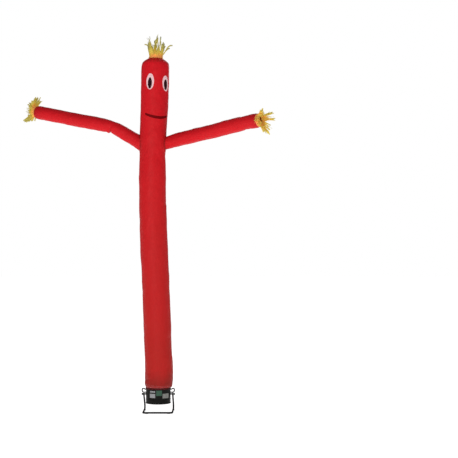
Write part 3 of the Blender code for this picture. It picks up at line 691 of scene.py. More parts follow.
def crease(along, across, place, turn, length, width, depth, slant=0.0):
    """One soft trough. It lies at (place, turn), runs round the tube for length, and is width wide."""
    aside = (across - turn + math.pi) % math.tau - math.pi
    line = along - place - slant * aside
    return -depth * np.exp(-((line / width) ** 2) - (aside / length) ** 2)


def pucker(turn, away, waves, depth, reach, seed):
    """Gathers along a seam. They fade with the distance away from it."""
    beat = np.sin(waves * turn + seed) + 0.6 * np.sin(1.63 * waves * turn + 2.1 * seed)
    beat = beat * (0.65 + 0.35 * np.sin(5.0 * turn + seed))
    return depth * beat * np.exp(-np.abs(away) / reach)


def crumple(points, size, seed):
    """Sharp-crested soft folds, from 0 on a crest to about 1 between crests."""
    return np.abs(clouds(points, size, seed, 2)) ** 0.8


# (height, turn from the front, half length round, half width along, depth, slant)
BODY_CREASES = (
    (0.56, -0.9, 0.55, 0.02, 0.005, 0.03), (0.64, 1.2, 0.5, 0.024, 0.0045, -0.04),
    (0.72, 0.2, 0.6, 0.03, 0.0025, 0.05), (1.3, 1.5, 0.6, 0.04, 0.0035, 0.08),
    (2.05, -1.5, 0.55, 0.045, 0.0035, -0.06), (3.25, -1.4, 0.6, 0.05, 0.004, 0.05),
    (3.52, 1.5, 0.5, 0.035, 0.0045, 0.1), (3.8, -1.2, 0.55, 0.04, 0.003, -0.08),
    (4.18, 0.9, 0.6, 0.035, 0.004, -0.3), (4.3, -0.8, 0.6, 0.03, 0.0045, 0.28),
    (4.36, 1.4, 0.45, 0.022, 0.005, -0.1), (4.78, -1.1, 0.55, 0.028, 0.0045, -0.22),
    (4.84, 1.1, 0.5, 0.028, 0.004, 0.22), (5.1, 1.6, 0.5, 0.035, 0.003, 0.05), (5.3, 2.9, 0.7, 0.04, 0.006, 0.0),
    (5.48, 3.3, 0.7, 0.035, 0.006, 0.03), (5.66, 3.0, 0.6, 0.03, 0.005, -0.03),
)
JOIN_POINTS = np.concatenate([JOINS["left"], JOINS["right"]])


def near_join(points):
    """For each point: how far the nearest sleeve seam is, and where round that seam it is."""
    away = np.full(points.shape[:-1], 9.0)
    turn = np.zeros_like(away)
    close = (points[..., 2] > 4.15) & (points[..., 2] < 4.95)
    gaps = np.linalg.norm(points[close][:, None, :] - JOIN_POINTS[None], axis=-1)
    nearest = gaps.argmin(1)
    away[close] = gaps[np.arange(len(nearest)), nearest]
    turn[close] = (nearest % SLEEVE_COLUMNS) * math.tau / SLEEVE_COLUMNS
    return away, turn


def body_relief(height, turn, points):
    """How far the cloth stands out from the smooth tube."""
    tall, flat = points * (1.0, 1.0, 0.45), points * (1.0, 1.0, 1.6)
    from_foot, from_head = np.maximum(height - CASING_TOP, 0.0), HEAD_SEAM - height
    calm = np.clip(from_foot / 0.12, 0.0, 1.0) * np.clip(from_head / 0.05, 0.0, 1.0)
    relief = calm * (0.0042 * clouds(tall, 0.3, 1) + 0.0012 * clouds(points, 0.07, 2, 2))
    relief += calm * (0.006 - 0.007 * crumple(tall, 0.17, 3) - 0.0022 * crumple(flat, 0.08, 4))
    for row in BODY_CREASES:
        relief += crease(height, turn, *row)
    relief += pucker(turn, from_foot, 34, 0.003, 0.06, 1.0) * (height > CASING_TOP)
    casing = (height > CASING_FOOT) & (height <= CASING_TOP)
    relief += casing * (0.0012 + 0.0008 * np.sin(47 * turn) + 0.0006 * np.sin(75 * turn + 1.0))
    skirt = np.clip((CASING_FOOT - height) / 0.02, 0.0, 1.0)
    relief += skirt * (0.0022 + 0.0014 * np.sin(23 * turn) + 0.0008 * np.sin(41 * turn + 2.0))
    relief += pucker(turn, from_head, 28, 0.0016, 0.035, 4.0)
    away, where = near_join(points)
    relief += pucker(where, away, 17, 0.004, 0.055, 2.0) * np.clip(away / 0.006, 0.0, 1.0)
    seam = (turn - math.pi) * 0.229
    relief += 0.0016 * np.exp(-((seam / 0.006) ** 2)) * calm
    return relief + pucker(height * 8.0, seam, 12, 0.001, 0.022, 5.0) * calm


print("creases on the body:", len(BODY_CREASES))

# %% Body cloth
def spaced(*runs):
    """Heights from several runs: (from, to, step)."""
    parts = [np.arange(a, b - 0.25 * step, step) for a, b, step in runs]
    return np.concatenate([*parts, [runs[-1][1]]])


heights = spaced(
    (0.397, 0.4265, 0.0059), (0.4265, 0.464, 0.0042), (0.464, 0.6, 0.0075), (0.6, 4.18, 0.0145),
    (4.18, 4.95, 0.0095), (4.95, 5.86, 0.0145), (5.86, 5.9, 0.006),
)
BODY_GRID = np.meshgrid(heights, turns_of(BODY_COLUMNS), indexing="ij")
BODY_RELIEF = body_relief(*BODY_GRID, body_skin(*BODY_GRID)[0])
body_points, body_out = body_skin(*BODY_GRID, BODY_RELIEF)
turned_in = [body_points[0] - body_out[0] * 0.0016 + (0.0, 0.0, rise) for rise in (0.012, 0.001)]
body_points = np.concatenate([turned_in, body_points])  # the hem's own turning


def inside_sleeve(points, side):
    """Which points lie inside a sleeve, near its root."""
    sleeve = SLEEVES[side]
    along = np.linspace(0.0, 0.5, 60)
    middles, radii = sleeve.middle(along), sleeve.radius(along)
    flat = points.reshape(-1, 3)
    gaps = np.linalg.norm(flat[:, None, :] - middles[None], axis=-1) - radii[None]
    return (gaps.min(1) < 0.0).reshape(points.shape[:-1])


def touched(faces):
    """Which points of a closed grid these faces use."""
    beside = faces | np.roll(faces, 1, 1)
    empty = np.zeros((1, faces.shape[1]), bool)
    return np.concatenate([beside, empty]) | np.concatenate([empty, beside])


def open_body(points):
    """Sews the body to the sleeves' seams, and returns the faces to leave out inside them."""
    dropped = np.zeros(points.shape[:2], bool)
    for side, seam in JOINS.items():
        inside = inside_sleeve(points, side)
        beside = np.roll(inside, -1, 1)
        gone = np.sum([inside[:-1], inside[1:], beside[:-1], beside[1:]], axis=0) >= 3
        dropped[:-1] |= gone
        edge = touched(gone) & touched(~gone)
        ring = np.concatenate([seam, 0.5 * (seam + np.roll(seam, -1, 0))])
        points[edge] = ring[np.linalg.norm(points[edge][:, None] - ring, axis=-1).argmin(1)]
    return dropped


def without_loose(mesh):
    """The same mesh without points that no face uses."""
    bm = from_meshes(mesh)
    bmesh.ops.delete(bm, geom=[v for v in bm.verts if not v.link_faces], context="VERTS")
    return from_bmesh(bm, outward=False)


body_dropped = open_body(body_points)
GIRTH = math.tau * 0.229
body_uv = uv_grid(np.linspace(0.0, GIRTH, BODY_COLUMNS + 1), [HEM_FOOT - 0.013, HEM_FOOT - 0.001, *heights])
away, _ = near_join(body_points)
level = np.concatenate([heights[:2], heights])[:, None]
# darker near the sleeves' seams and along the head seam
body_soil_and_shade = 0.75 * np.exp(-((away / 0.012) ** 2)) + 0.35 * np.exp(-away / 0.05)
body_soil_and_shade += 0.5 * np.exp(-(((level - HEAD_SEAM) / 0.006) ** 2))
# darker in the troughs of creases: painted shade
body_soil_and_shade[2:] += np.clip(-0.006 - BODY_RELIEF, 0.0, 0.008) * 40.0
body_mesh = sheet_mesh(body_points, body_uv, True, body_dropped, body_soil_and_shade)
body_cloth = piece("body_cloth", without_loose(body_mesh), RED)
print("body cloth:", triangles(body_cloth), "triangles")

# %% [markdown]
# ## The head piece
# The tube is closed by a gathered piece. Its lower edge is sewn to the tube, and its upper edge is
# drawn in to the vent, so the spare cloth stands in small folds that run towards the vent.

# %% Head cloth
# (distance along the head's axis, radius)
HEAD_ROWS = np.array((
    (0.0, 0.225), (0.006, 0.2239), (0.02, 0.216), (0.045, 0.186), (0.068, 0.153), (0.084, 0.124), (0.088, 0.1195),
))
HEAD_COLUMNS = 160
head_across, head_back, HEAD_AXIS = body_frame(np.array(HEAD_SEAM))
seam_x, seam_y, _ = body_sizes(HEAD_SEAM)
SEAM_MIDDLE = np.array((seam_x, seam_y, HEAD_SEAM))

head_along = np.concatenate([np.linspace(0.0, 0.02, 8), np.linspace(0.025, 0.088, 20)])
head_radii = smooth(*HEAD_ROWS.T, head_along)
along, turn = np.meshgrid(head_along, turns_of(HEAD_COLUMNS), indexing="ij")
gather = np.clip(along / 0.05, 0.0, 1.0) ** 1.5
folds = np.sin(19 * turn + 0.8 * np.sin(3 * turn)) + 0.5 * np.sin(31 * turn + 1.0)
radii = head_radii[:, None] + 0.0036 * gather * folds + pucker(turn, along, 28, 0.0016, 0.02, 4.0)
rise = along + 0.003 * gather * np.cos(19 * turn)
head_points = SEAM_MIDDLE + HEAD_AXIS * rise[..., None] + around(-head_back, head_across, turn) * radii[..., None]
slope = lengths_of(np.stack([head_along, head_radii], -1))
head_uv = uv_grid(np.linspace(0.0, GIRTH, HEAD_COLUMNS + 1), HEAD_SEAM + slope)
# darker at the seam, and in the troughs of the folds: painted shade
head_soil_and_shade = 0.5 * np.exp(-((along / 0.006) ** 2)) + 0.45 * gather * np.clip(-folds, 0.0, 1.0)
head_cloth = piece("head_cloth", sheet_mesh(head_points, head_uv, True, soil_and_shade=head_soil_and_shade), RED)
print("head cloth:", triangles(head_cloth), "triangles, slope", round(float(slope[-1]), 3), "m")

# %% [markdown]
# ## The sleeves
# A sleeve's lines start on the body's skin, so the two cloths meet exactly at their seam. The left
# elbow is the deepest fold on the dancer: the air bends the tube, the outer side stays taut and
# the inner side buckles into one sharp fold with smaller ones beside it.

# %% Sleeve cloth
# (distance along, turn from the top, half length round, half width along, depth)
UNDER = math.pi
SLEEVE_CREASES = {
    "left": (
        (0.18, UNDER, 0.7, 0.018, 0.006), (0.26, UNDER - 0.6, 0.6, 0.016, 0.004),
        (0.655, UNDER + 0.5, 0.6, 0.018, 0.006), (0.718, UNDER - 0.4, 0.8, 0.015, 0.008),
        (0.757, UNDER + 0.1, 1.2, 0.019, 0.027), (0.796, UNDER + 0.1, 0.9, 0.026, -0.008),
        (0.84, UNDER - 0.5, 0.7, 0.018, 0.007), (0.735, 0.5, 0.8, 0.024, 0.003),
        (1.25, UNDER - 0.5, 0.7, 0.035, 0.0025), (1.7, 0.9, 0.8, 0.04, 0.0025), (2.08, UNDER, 1.2, 0.02, 0.0035),
    ),
    "right": (
        (0.3, UNDER, 0.7, 0.018, 0.005), (0.43, UNDER + 0.5, 0.7, 0.022, 0.004), (0.52, 0.3, 0.7, 0.026, 0.0025),
        (1.0, UNDER - 0.6, 0.7, 0.035, 0.0025), (1.48, 1.2, 0.8, 0.035, 0.0025), (1.77, 0.2, 0.9, 0.02, 0.006),
        (1.8, UNDER, 0.9, 0.02, 0.006), (1.84, 1.7, 0.8, 0.018, 0.005), (1.9, UNDER + 0.6, 0.8, 0.018, 0.004),
    ),
}
SLEEVE_STEP = 0.0105
SLEEVE_SEEDS = {"left": 11, "right": 17}
SLEEVE_SOIL = {"left": 0.55, "right": 0.35}  # how grubby the cloth is at each hand


def sleeve_relief(side, s, turn, start, points):
    """How far the cloth stands out from the smooth sleeve."""
    seed, gone, left = SLEEVE_SEEDS[side], s - start, SLEEVES[side].length - s
    calm = np.clip(gone / 0.04, 0.0, 1.0) * np.clip(left / 0.04, 0.0, 1.0)
    relief = calm * (0.003 * clouds(points, 0.22, seed) + 0.001 * clouds(points, 0.05, seed + 1, 2))
    relief += calm * (0.003 - 0.0046 * crumple(points, 0.12, seed + 2))
    for row in SLEEVE_CREASES[side]:
        relief += crease(s, turn, *row)
    relief += pucker(turn, gone, 17, 0.0034, 0.045, 2.0) * np.clip(gone / 0.01, 0.0, 1.0)
    relief += pucker(turn, left, 15, 0.0022, 0.03, 6.0)
    return relief + 0.0014 * np.exp(-(((turn - UNDER) * 0.11 / 0.005) ** 2)) * calm


sleeve_cloths = {}
for side, sleeve in SLEEVES.items():
    start = STARTS[side]
    rows = int((sleeve.length - start.min()) / SLEEVE_STEP)
    share = np.concatenate([np.linspace(0.0, 0.06, 18)[:-1], np.linspace(0.06, 1.0, rows)])
    s, turn = np.broadcast_arrays(start + (sleeve.length - start) * share[:, None], SLEEVE_TURNS)
    relief = sleeve_relief(side, s, turn, start, sleeve.skin(s, turn))
    points = sleeve.skin(s, turn, relief)
    points[0] = JOINS[side]
    # darker at the join, and in the troughs of creases: painted shade; the hands are grubby
    soil_and_shade = 0.75 * np.exp(-(((s - start) / 0.012) ** 2)) + np.clip(-0.004 - relief, 0.0, 0.012) * 45.0
    soil_and_shade += SLEEVE_SOIL[side] * np.exp(-(sleeve.length - s) / 0.1)
    uv = uv_grid(np.linspace(0.0, math.tau * 0.112, SLEEVE_COLUMNS + 1), s.mean(axis=1))
    mesh = sheet_mesh(points[:, ::-1], uv, True, soil_and_shade=soil_and_shade[:, ::-1])
    sleeve_cloths[side] = piece(f"sleeve_{side}_cloth", mesh, RED)
    print(side, "sleeve:", triangles(sleeve_cloths[side]), "triangles")

# %% [markdown]
# ## Eyes and mouth
# The face is sewn on: white ovals, dark ovals on top of them, and a curved mouth. They are cut flat
# and follow the tube, so each outline is laid on the cloth from the front, and its edge is turned
# down to the cloth below.


# %% Face patches
FACE = (  # name, azimuth, height, width, tallness, layer
    ("eye_white_left", -17.5, 5.56, 0.136, 0.268, 0),
    ("eye_white_right", 52.5, 5.544, 0.136, 0.262, 0),
    ("pupil_left", -18.0, 5.533, 0.074, 0.188, 1),
    ("pupil_right", 52.0, 5.522, 0.074, 0.176, 1),
)
PATCH_LIFT, LAYER_LIFT = 0.0015, 0.0014
STITCHES_IN = 0.0035  # how far inside a patch's edge its stitches run
SHARES = np.array([*np.linspace(0.05, 0.97, 20), 0.992, 1.0, 1.003])
SEWN = np.array([0.0] * 20 + [-0.0002, -0.0007, -0.0013])  # the edge is turned down to the cloth below
stitch_lines = {}  # name: (points, closed)


def relief_at(height, turn):
    """The body cloth's relief, read between the points of its grid."""
    row = np.interp(height, heights, np.arange(len(heights)))
    column = (turn % math.tau) * BODY_COLUMNS / math.tau
    low, left = np.minimum(row.astype(int), len(heights) - 2), column.astype(int)
    up, on = row - low, column - left
    corners = ((0, 0, (1 - up) * (1 - on)), (0, 1, (1 - up) * on), (1, 0, up * (1 - on)), (1, 1, up * on))
    return sum(share * BODY_RELIEF[low + i, (left + j) % BODY_COLUMNS] for i, j, share in corners)


def laid_on_body(flat, azimuth, height, lift, roll=0.0):
    """Lays flat points (across, up) on the body, as seen from the azimuth."""
    tip, aim = math.radians(roll), math.radians(azimuth)
    across = flat[..., 0] * math.cos(tip) - flat[..., 1] * math.sin(tip)
    level = height + flat[..., 0] * math.sin(tip) + flat[..., 1] * math.cos(tip)
    (x0, y0, _), (x, y, r) = body_sizes(height), body_sizes(level)
    turn = aim + np.arcsin((across + (x0 - x) * math.cos(aim) + (y0 - y) * math.sin(aim)) / r)
    return body_skin(level, turn, relief_at(level, turn) + lift)[0]


def oval(width, tallness, seed, sides=96):
    """A hand-cut oval, anticlockwise from its right side: its edge wanders a little."""
    edge = 0.5 * around(np.array((width, 0.0)), np.array((0.0, tallness)), turns_of(sides))
    turns = np.arctan2(edge[:, 1], edge[:, 0])
    return edge * (1.0 + 0.006 * np.sin(5 * turns + seed) + 0.004 * np.sin(11 * turns + 2 * seed))[:, None]


def disc_mesh(points, flat):
    """Cloth from rings of points, the smallest first."""
    uv = np.concatenate([flat, flat[:, :1]], axis=1)
    return sheet_mesh(points[::-1], uv[::-1], True)


face_cloths = {}
for number, (name, azimuth, height, width, tallness, layer) in enumerate(FACE):
    edge = oval(width, tallness, number)
    lift = PATCH_LIFT + layer * LAYER_LIFT
    ruffle = 0.0005 * np.sin(26 * turns_of(len(edge)) + number)
    ruffled = np.clip((SHARES - 0.7) / 0.2, 0.0, 1.0) * (SHARES < 0.99)
    flat = edge * SHARES[:, None, None]
    lifts = lift + SEWN[:, None] + ruffle * ruffled[:, None]
    bm = from_meshes(disc_mesh(laid_on_body(flat, azimuth, height, lifts), flat))
    bmesh.ops.holes_fill(bm, edges=[e for e in bm.edges if e.is_boundary and e.calc_length() < 0.002], sides=0)
    face_cloths[name] = piece(f"{name}_cloth", from_bmesh(bm), BLACK if layer else WHITE)
    line = edge * (1.0 - 2.0 * STITCHES_IN / min(width, tallness))
    stitch_lines[name] = (laid_on_body(line, azimuth, height, lift), True)

MOUTH_AZIMUTH, MOUTH_HEIGHT, MOUTH_ROLL = 18.5, 4.941, -2.0
MOUTH_HALF_WIDTH, MOUTH_RISE, MOUTH_STROKE = 0.185, 0.048, 0.048
places = np.linspace(-1.0, 1.0, 97)
middle = MOUTH_RISE * abs(places) ** 2.4 + 0.5 * MOUTH_STROKE
half = 0.5 * MOUTH_STROKE * (1.0 - 0.4 * abs(places) ** 3)
half *= np.sqrt(np.clip((1.0 - abs(places)) / 0.02, 0.15, 1.0))  # its ends are rounded
steps = np.array([-1.01, -1.0, -0.96, -0.6, -0.2, 0.2, 0.6, 0.96, 1.0, 1.01])
drop = np.interp(abs(steps), (0.6, 0.96, 1.0, 1.01), (0.0, -0.0002, -0.0007, -0.0013))


def mouth_points(share, lift):
    """Points on the mouth. share runs from its lower edge, -1, to its upper edge, 1."""
    up = middle + share * half
    flat = np.stack([np.broadcast_to(MOUTH_HALF_WIDTH * places, up.shape), up], -1)
    return laid_on_body(flat, MOUTH_AZIMUTH, MOUTH_HEIGHT, PATCH_LIFT + lift, MOUTH_ROLL), flat


ends = 0.0012 * (abs(places) > 0.999)
mouth_mesh = sheet_mesh(*mouth_points(steps[:, None], drop[:, None] - ends), False)
mouth_cloth = piece("mouth_cloth_strip", mouth_mesh, MAROON)
for share, name in ((0.72, "mouth_top"), (-0.72, "mouth_bottom")):
    stitch_lines[name] = (mouth_points(share, 0.0)[0][2:-2], False)
print("face:", [triangles(o) for o in face_cloths.values()], triangles(mouth_cloth), "triangles")

# %% [markdown]
# ## Growing parts with Geometry Nodes
# Ribbons, stitches and rings of screws are all one small thing, many times over. Each gets one
# Geometry Nodes tree with named inputs. `Grower` starts such a tree, ends it with real geometry in
# one material, and runs it on a mesh.


# %% Geometry Nodes helper
class Grower(Tree):
    """A Geometry Nodes tree with named inputs, whose result is kept as a plain mesh."""

    def __init__(self, name, **numbers):
        super().__init__(bpy.data.node_groups.new(name, "GeometryNodeTree"))
        sockets = self.tree.interface
        sockets.new_socket("Geometry", in_out="OUTPUT", socket_type="NodeSocketGeometry")
        for label, value in {"Geometry": None, **numbers, "Material": None}.items():
            kind = {int: "Int", float: "Float"}.get(type(value), label)
            socket = sockets.new_socket(label, in_out="INPUT", socket_type=f"NodeSocket{kind}")
            if value is not None:
                socket.default_value = value
        self.given = self.node("NodeGroupInput")

    def end(self, geometry):
        real = self.node("GeometryNodeRealizeInstances", {"Geometry": geometry})[0]
        dyed = self.node("GeometryNodeSetMaterial", {"Geometry": real, "Material": self.given["Material"]})[0]
        self.node("NodeGroupOutput", {"Geometry": dyed})

    def grow(self, mesh, **inputs):
        """The mesh that the tree makes from this one."""
        source = bpy.data.objects.new("source", mesh)
        scene.collection.objects.link(source)
        modifier = source.modifiers.new(self.tree.name, "NODES")
        modifier.node_group = self.tree
        for socket in self.tree.interface.items_tree:
            if socket.item_type == "SOCKET" and socket.in_out == "INPUT" and socket.name in inputs:
                modifier[socket.identifier] = inputs[socket.name]
        graph = bpy.context.evaluated_depsgraph_get()
        made = bpy.data.meshes.new_from_object(source.evaluated_get(graph), depsgraph=graph)
        bpy.data.objects.remove(source)
        return made


print("grower ready")

# %% [markdown]
# ## The fringe
# A fringe is one long strip of yellow cloth, slit into ribbons, rolled round the vent and sewn to
# it. The air makes each ribbon stream out, twist and flutter. Here every ribbon is a line with a
# direction, a width and a shade at each point, and one tree gives them all their cloth: it sweeps
# a slightly cupped profile along each line.

# %% Fringe tables
RIBBON_STEPS = 22
RIBBON_WIDTH = 0.027
# slot round the vent: (length, lean, fold, sideways), for the ribbons that show as single ones
HAIR_LEADERS = {
    0: (0.31, 30, 60, 0.05), 2: (0.25, 12, 30, 0.0), 5: (0.32, 4, 12, 0.2), 7: (0.35, 6, -10, -0.3),
    9: (0.3, 5, 20, 0.1), 12: (0.285, 3, 108, 0.0), 14: (0.23, 6, 24, 0.0), 16: (0.35, 13, 14, -0.15),
    18: (0.385, 4, 26, 1.1), 19: (0.33, 6, 4, -0.2), 20: (0.35, 9, -6, 0.1), 22: (0.27, 9, -10, 0.0),
}
LEFT_LEADERS = {
    2: (0.16, 60, 10, 0.1), 3: (0.19, 96, 14, 0.1), 4: (0.215, 104, 10, 0.05), 5: (0.205, 108, 10, -0.05),
    6: (0.17, 84, 20, -0.1), 11: (0.18, 42, -10, 0.05), 12: (0.235, 33, 8, 0.08), 13: (0.25, 31, 10, 0.0),
    14: (0.235, 34, -8, -0.08), 15: (0.19, 48, 16, -0.1),
}
RIGHT_LEADERS = {
    1: (0.235, 8, 24, 0.0), 2: (0.225, 32, 34, 0.1), 5: (0.13, 50, 30, 0.0), 10: (0.09, 96, 20, 0.0),
    15: (0.18, 50, 14, 0.0), 16: (0.215, 54, 14, 0.1), 18: (0.19, 42, 24, 0.0),
}
REST = {  # between what limits the other ribbons' lengths, leans, folds and sideways leans lie
    "hair": ((0.16, 0.27), (0.0, 11.0), (-25.0, 30.0), (-0.25, 0.25)),
    "left_hand": ((0.1, 0.15), (34.0, 78.0), (-10.0, 30.0), (-0.15, 0.15)),
    "right_hand": ((0.07, 0.12), (4.0, 36.0), (-10.0, 30.0), (-0.12, 0.12)),
}
INNER = ((0.8, 1.3), (-80.0, -35.0), (-30.0, 50.0), (-0.5, 0.5))  # the same, for those that blow inwards
# name: (slots, leaders, droop, seed, ribbons, ribbons that blow inwards,
#        pull towards the top and the bottom of the vent, how faded the tips are)
BUNCHES = {
    "hair": (24, HAIR_LEADERS, 0.0, 11, 74, 10, 0.0, 1.0),
    "left_hand": (18, LEFT_LEADERS, 0.05, 5, 136, 30, 0.4, 0.75),
    "right_hand": (20, RIGHT_LEADERS, 0.35, 8, 64, 56, 0.0, 0.45),
}
BAND_HEIGHTS = {"hair": 0.022, "left_hand": 0.016, "right_hand": 0.016}
VENTS = {"hair": (SEAM_MIDDLE + HEAD_AXIS * 0.0886, HEAD_AXIS, 0.1195)}  # centre, axis, radius
for side, sleeve in SLEEVES.items():
    before, tip = sleeve.rows[-2:]
    aim = unit(tip[:3] - before[:3])
    VENTS[f"{side}_hand"] = (tip[:3] + aim * 0.0003, aim, tip[3] - 0.00075)
print("ribbons:", {name: row[4] + row[5] for name, row in BUNCHES.items()})


# %% Fringe ribbons
def ribbon(root, axis, radial, shape, twist, droop, spread):
    """Points and width directions of one ribbon that leaves the vent and flutters."""
    length, lean, fold, sideways = shape
    tangent = np.cross(axis, radial)
    lateral = unit(radial + tangent * sideways)
    wave, phase, swing = spread.uniform(1.2, 2.4), spread.uniform(0.0, math.tau), spread.uniform(4.0, 10.0)
    point, points, widths = root, [], []
    for i in range(RIBBON_STEPS + 1):
        share = i / RIBBON_STEPS
        flutter = swing * share * math.sin(wave * math.tau * share + phase)
        angle = math.radians(lean * min(1.0, share / 0.35) + fold * share**5 + flutter)
        along = axis * math.cos(angle) + lateral * math.sin(angle)
        if i:
            along = unit(along + (0.0, 0.0, -droop * share))
            point = point + along * length / RIBBON_STEPS
        across = unit(tangent - along * tangent.dot(along))
        turned = math.radians(twist) * max(0.0, share - 0.15)
        points.append(point)
        widths.append(across * math.cos(turned) + np.cross(along, across) * math.sin(turned))
    return points, widths


def vent_frame(axis):
    """The directions of a vent's slots. Slot 0 is at its side; then the slots climb over the top of
    a hand, or go round the back of the head."""
    guide = np.array((0.0, 0.0, 1.0) if abs(axis[2]) < 0.9 else (0.0, 1.0, 0.0))
    up = unit(guide - axis * guide.dot(axis))
    return np.cross(up, axis), up


def bunch_lines(name, centre, axis, radius):
    """All the ribbons of one bunch, as a mesh of loose lines with attributes."""
    slots, leaders, droop, seed, count, inner, pull, faded = BUNCHES[name]
    spread = random.Random(seed * 7)
    first, second = vent_frame(axis)
    shapes = [(slot, shape, faded) for slot, shape in leaders.items()]
    others = count - len(leaders)
    for i in range(others):
        slot = (i + spread.random()) * slots / others
        shape = [spread.uniform(*limits) for limits in REST[name]]
        if i % 2:  # every second ribbon follows a leader, so that they stream out in clumps
            leader = spread.choice(sorted(leaders))
            slot = leader + spread.uniform(-0.9, 0.9)
            length, *leans = leaders[leader]
            shape = [length * spread.uniform(0.72, 0.98)]
            shape += [lean + spread.uniform(-most, most) for lean, most in zip(leans, (7.0, 14.0, 0.12))]
        else:  # the others cling to their neighbours
            shape[3] += pull * math.sin(math.tau * (2.0 * slot / slots + 0.5))
        shapes.append((slot, shape, faded))
    for i in range(inner):  # and some blow across the open vent
        share, *leans = [spread.uniform(*limits) for limits in INNER]
        shape = (REST[name][0][0] * share, *leans)
        # their colour stays nearer the bright orange of the roots: painted light against the shade inside the vent
        shapes.append(((i + spread.random()) * slots / inner, shape, 0.45 * faded))
    share = np.linspace(0.0, 1.0, RIBBON_STEPS + 1)
    taper = (1.0 - 0.15 * share) * (1.0 - 0.4 * np.clip((share - 0.96) / 0.04, 0, 1))
    lines, facts = [], {"along": [], "tone": [], "width": []}
    directions = []
    for slot, shape, tip_fade_and_light in shapes:
        turn = math.tau * slot / slots
        radial = first * math.cos(turn) + second * math.sin(turn)
        root = centre + radial * (radius - spread.uniform(0.0, 0.012)) + axis * 0.5 * BAND_HEIGHTS[name]
        twist = spread.choice((-1.0, 1.0)) * spread.uniform(60.0, 210.0)
        points, widths = ribbon(root, axis, radial, shape, twist, droop, spread)
        tone, wide = spread.random(), spread.uniform(0.85, 1.05)
        lines.append((points, False))
        directions.append(widths)
        for fact, values in zip(facts, (tip_fade_and_light * share, tone + 0.0 * share, wide * taper)):
            facts[fact].append(values)
    mesh = lines_mesh(lines)
    store(mesh, "across", directions, "FLOAT_VECTOR", "vector")
    for fact, values in facts.items():
        store(mesh, fact, values)
    return mesh


def ribbon_tree():
    """Sweeps a cupped profile along every line of a mesh, turned and scaled by its attributes."""
    g = Grower("ribbons", Width=RIBBON_WIDTH, Cup=0.003)
    across, width = (
        g.node("GeometryNodeInputNamedAttribute", {"Name": fact}, data_type=kind)["Attribute"]
        for fact, kind in (("across", "FLOAT_VECTOR"), ("width", "FLOAT"))
    )
    lines = g.node("GeometryNodeMeshToCurve", {"Mesh": g.given["Geometry"]})[0]
    aimed = g.node("GeometryNodeSetCurveNormal", {"Curve": lines, "Normal": across}, mode="FREE")[0]
    low, high = (
        g.node("ShaderNodeCombineXYZ", {"X": g.calc("MULTIPLY", g.given["Width"], half)})[0] for half in (-0.5, 0.5)
    )
    cup = g.node("ShaderNodeCombineXYZ", {"Y": g.given["Cup"]})[0]
    bend = {"Start": low, "Middle": cup, "End": high, "Resolution": 3}
    profile = g.node("GeometryNodeCurveQuadraticBezier", bend)[0]
    swept = g.node("GeometryNodeCurveToMesh", {"Curve": aimed, "Profile Curve": profile, "Scale": width})[0]
    g.end(g.node("GeometryNodeSetShadeSmooth", {"Geometry": swept})[0])
    return g


def vent_band(name, centre, axis, radius, seed):
    """The sewn heading of a fringe: a narrow ruffled band round the vent."""
    height = BAND_HEIGHTS[name]
    rises = np.linspace(-0.002, height, 7)
    rise, turn = np.meshgrid(rises, turns_of(120), indexing="ij")
    ruffle = 0.0016 * np.sin(21 * turn + seed) * (0.4 + rise / height)
    points = centre + around(*vent_frame(axis), turn) * (radius + 0.0015 + ruffle)[..., None] + axis * rise[..., None]
    mesh = sheet_mesh(points, uv_grid(np.linspace(0.0, math.tau * radius, 121), rises), True)
    # the band takes the root colour: the painted orange glow
    store(mesh, "along", np.zeros(rise.size))
    store(mesh, "tone", np.full(rise.size, 0.45))
    return piece(f"band_{name}", mesh, YELLOW)


RIBBONS = ribbon_tree()
fringes, bands = {}, {}
for number, (name, vent) in enumerate(VENTS.items()):
    grown = RIBBONS.grow(bunch_lines(name, *vent), Material=YELLOW)
    fringes[name] = piece(f"ribbons_{name}", grown, YELLOW, shaded=False)
    bands[name] = vent_band(name, *vent, number)
    print(name, "ribbons:", triangles(fringes[name]), "triangles")

# %% [markdown]
# ## Sewing
# Each seam is a line of running stitches. The lines are drawn first, a hair above the cloth, and
# one tree walks along them and sets a small thread loop down every few millimetres.

# %% Seam lines
STITCH_LIFT = 0.0006


def on_body(level, turn):
    """A seam line on the body's cloth."""
    level, turn = np.broadcast_arrays(level, turn)
    return body_skin(level, turn, relief_at(level, turn) + STITCH_LIFT)[0]


def on_sleeve(side, s, turn, start):
    """A seam line on a sleeve's cloth."""
    sleeve = SLEEVES[side]
    relief = sleeve_relief(side, s, turn, start, sleeve.skin(s, turn))
    return sleeve.skin(s, turn, relief + STITCH_LIFT)


for name, height in (
    ("casing_foot", CASING_FOOT + 0.002), ("casing_top", CASING_TOP - 0.001),
    ("head_low", HEAD_SEAM - 0.006), ("hem", HEM_FOOT + 0.01),
):
    stitch_lines[name] = (on_body(height, turns_of(360)), True)
for turn in (math.pi - 0.035, math.pi + 0.035):
    stitch_lines[f"back_{turn:.2f}"] = (on_body(np.linspace(CASING_TOP, HEAD_SEAM - 0.01, 900), turn), False)
for side, sleeve in SLEEVES.items():
    round_turns, long_turn = turns_of(160), np.array([UNDER + 0.06])
    start, root = sleeve_start(sleeve, round_turns), sleeve_start(sleeve, long_turn)
    vent = np.full(len(start), sleeve.length - 0.01)
    along = np.linspace(root[0] + 0.004, sleeve.length - 0.004, 420)
    stitch_lines[f"{side}_join"] = (on_sleeve(side, start + 0.006, round_turns, start), True)
    stitch_lines[f"{side}_vent"] = (on_sleeve(side, vent, round_turns, start), True)
    stitch_lines[f"{side}_long"] = (on_sleeve(side, along, long_turn, root), False)
print("seam lines:", len(stitch_lines))


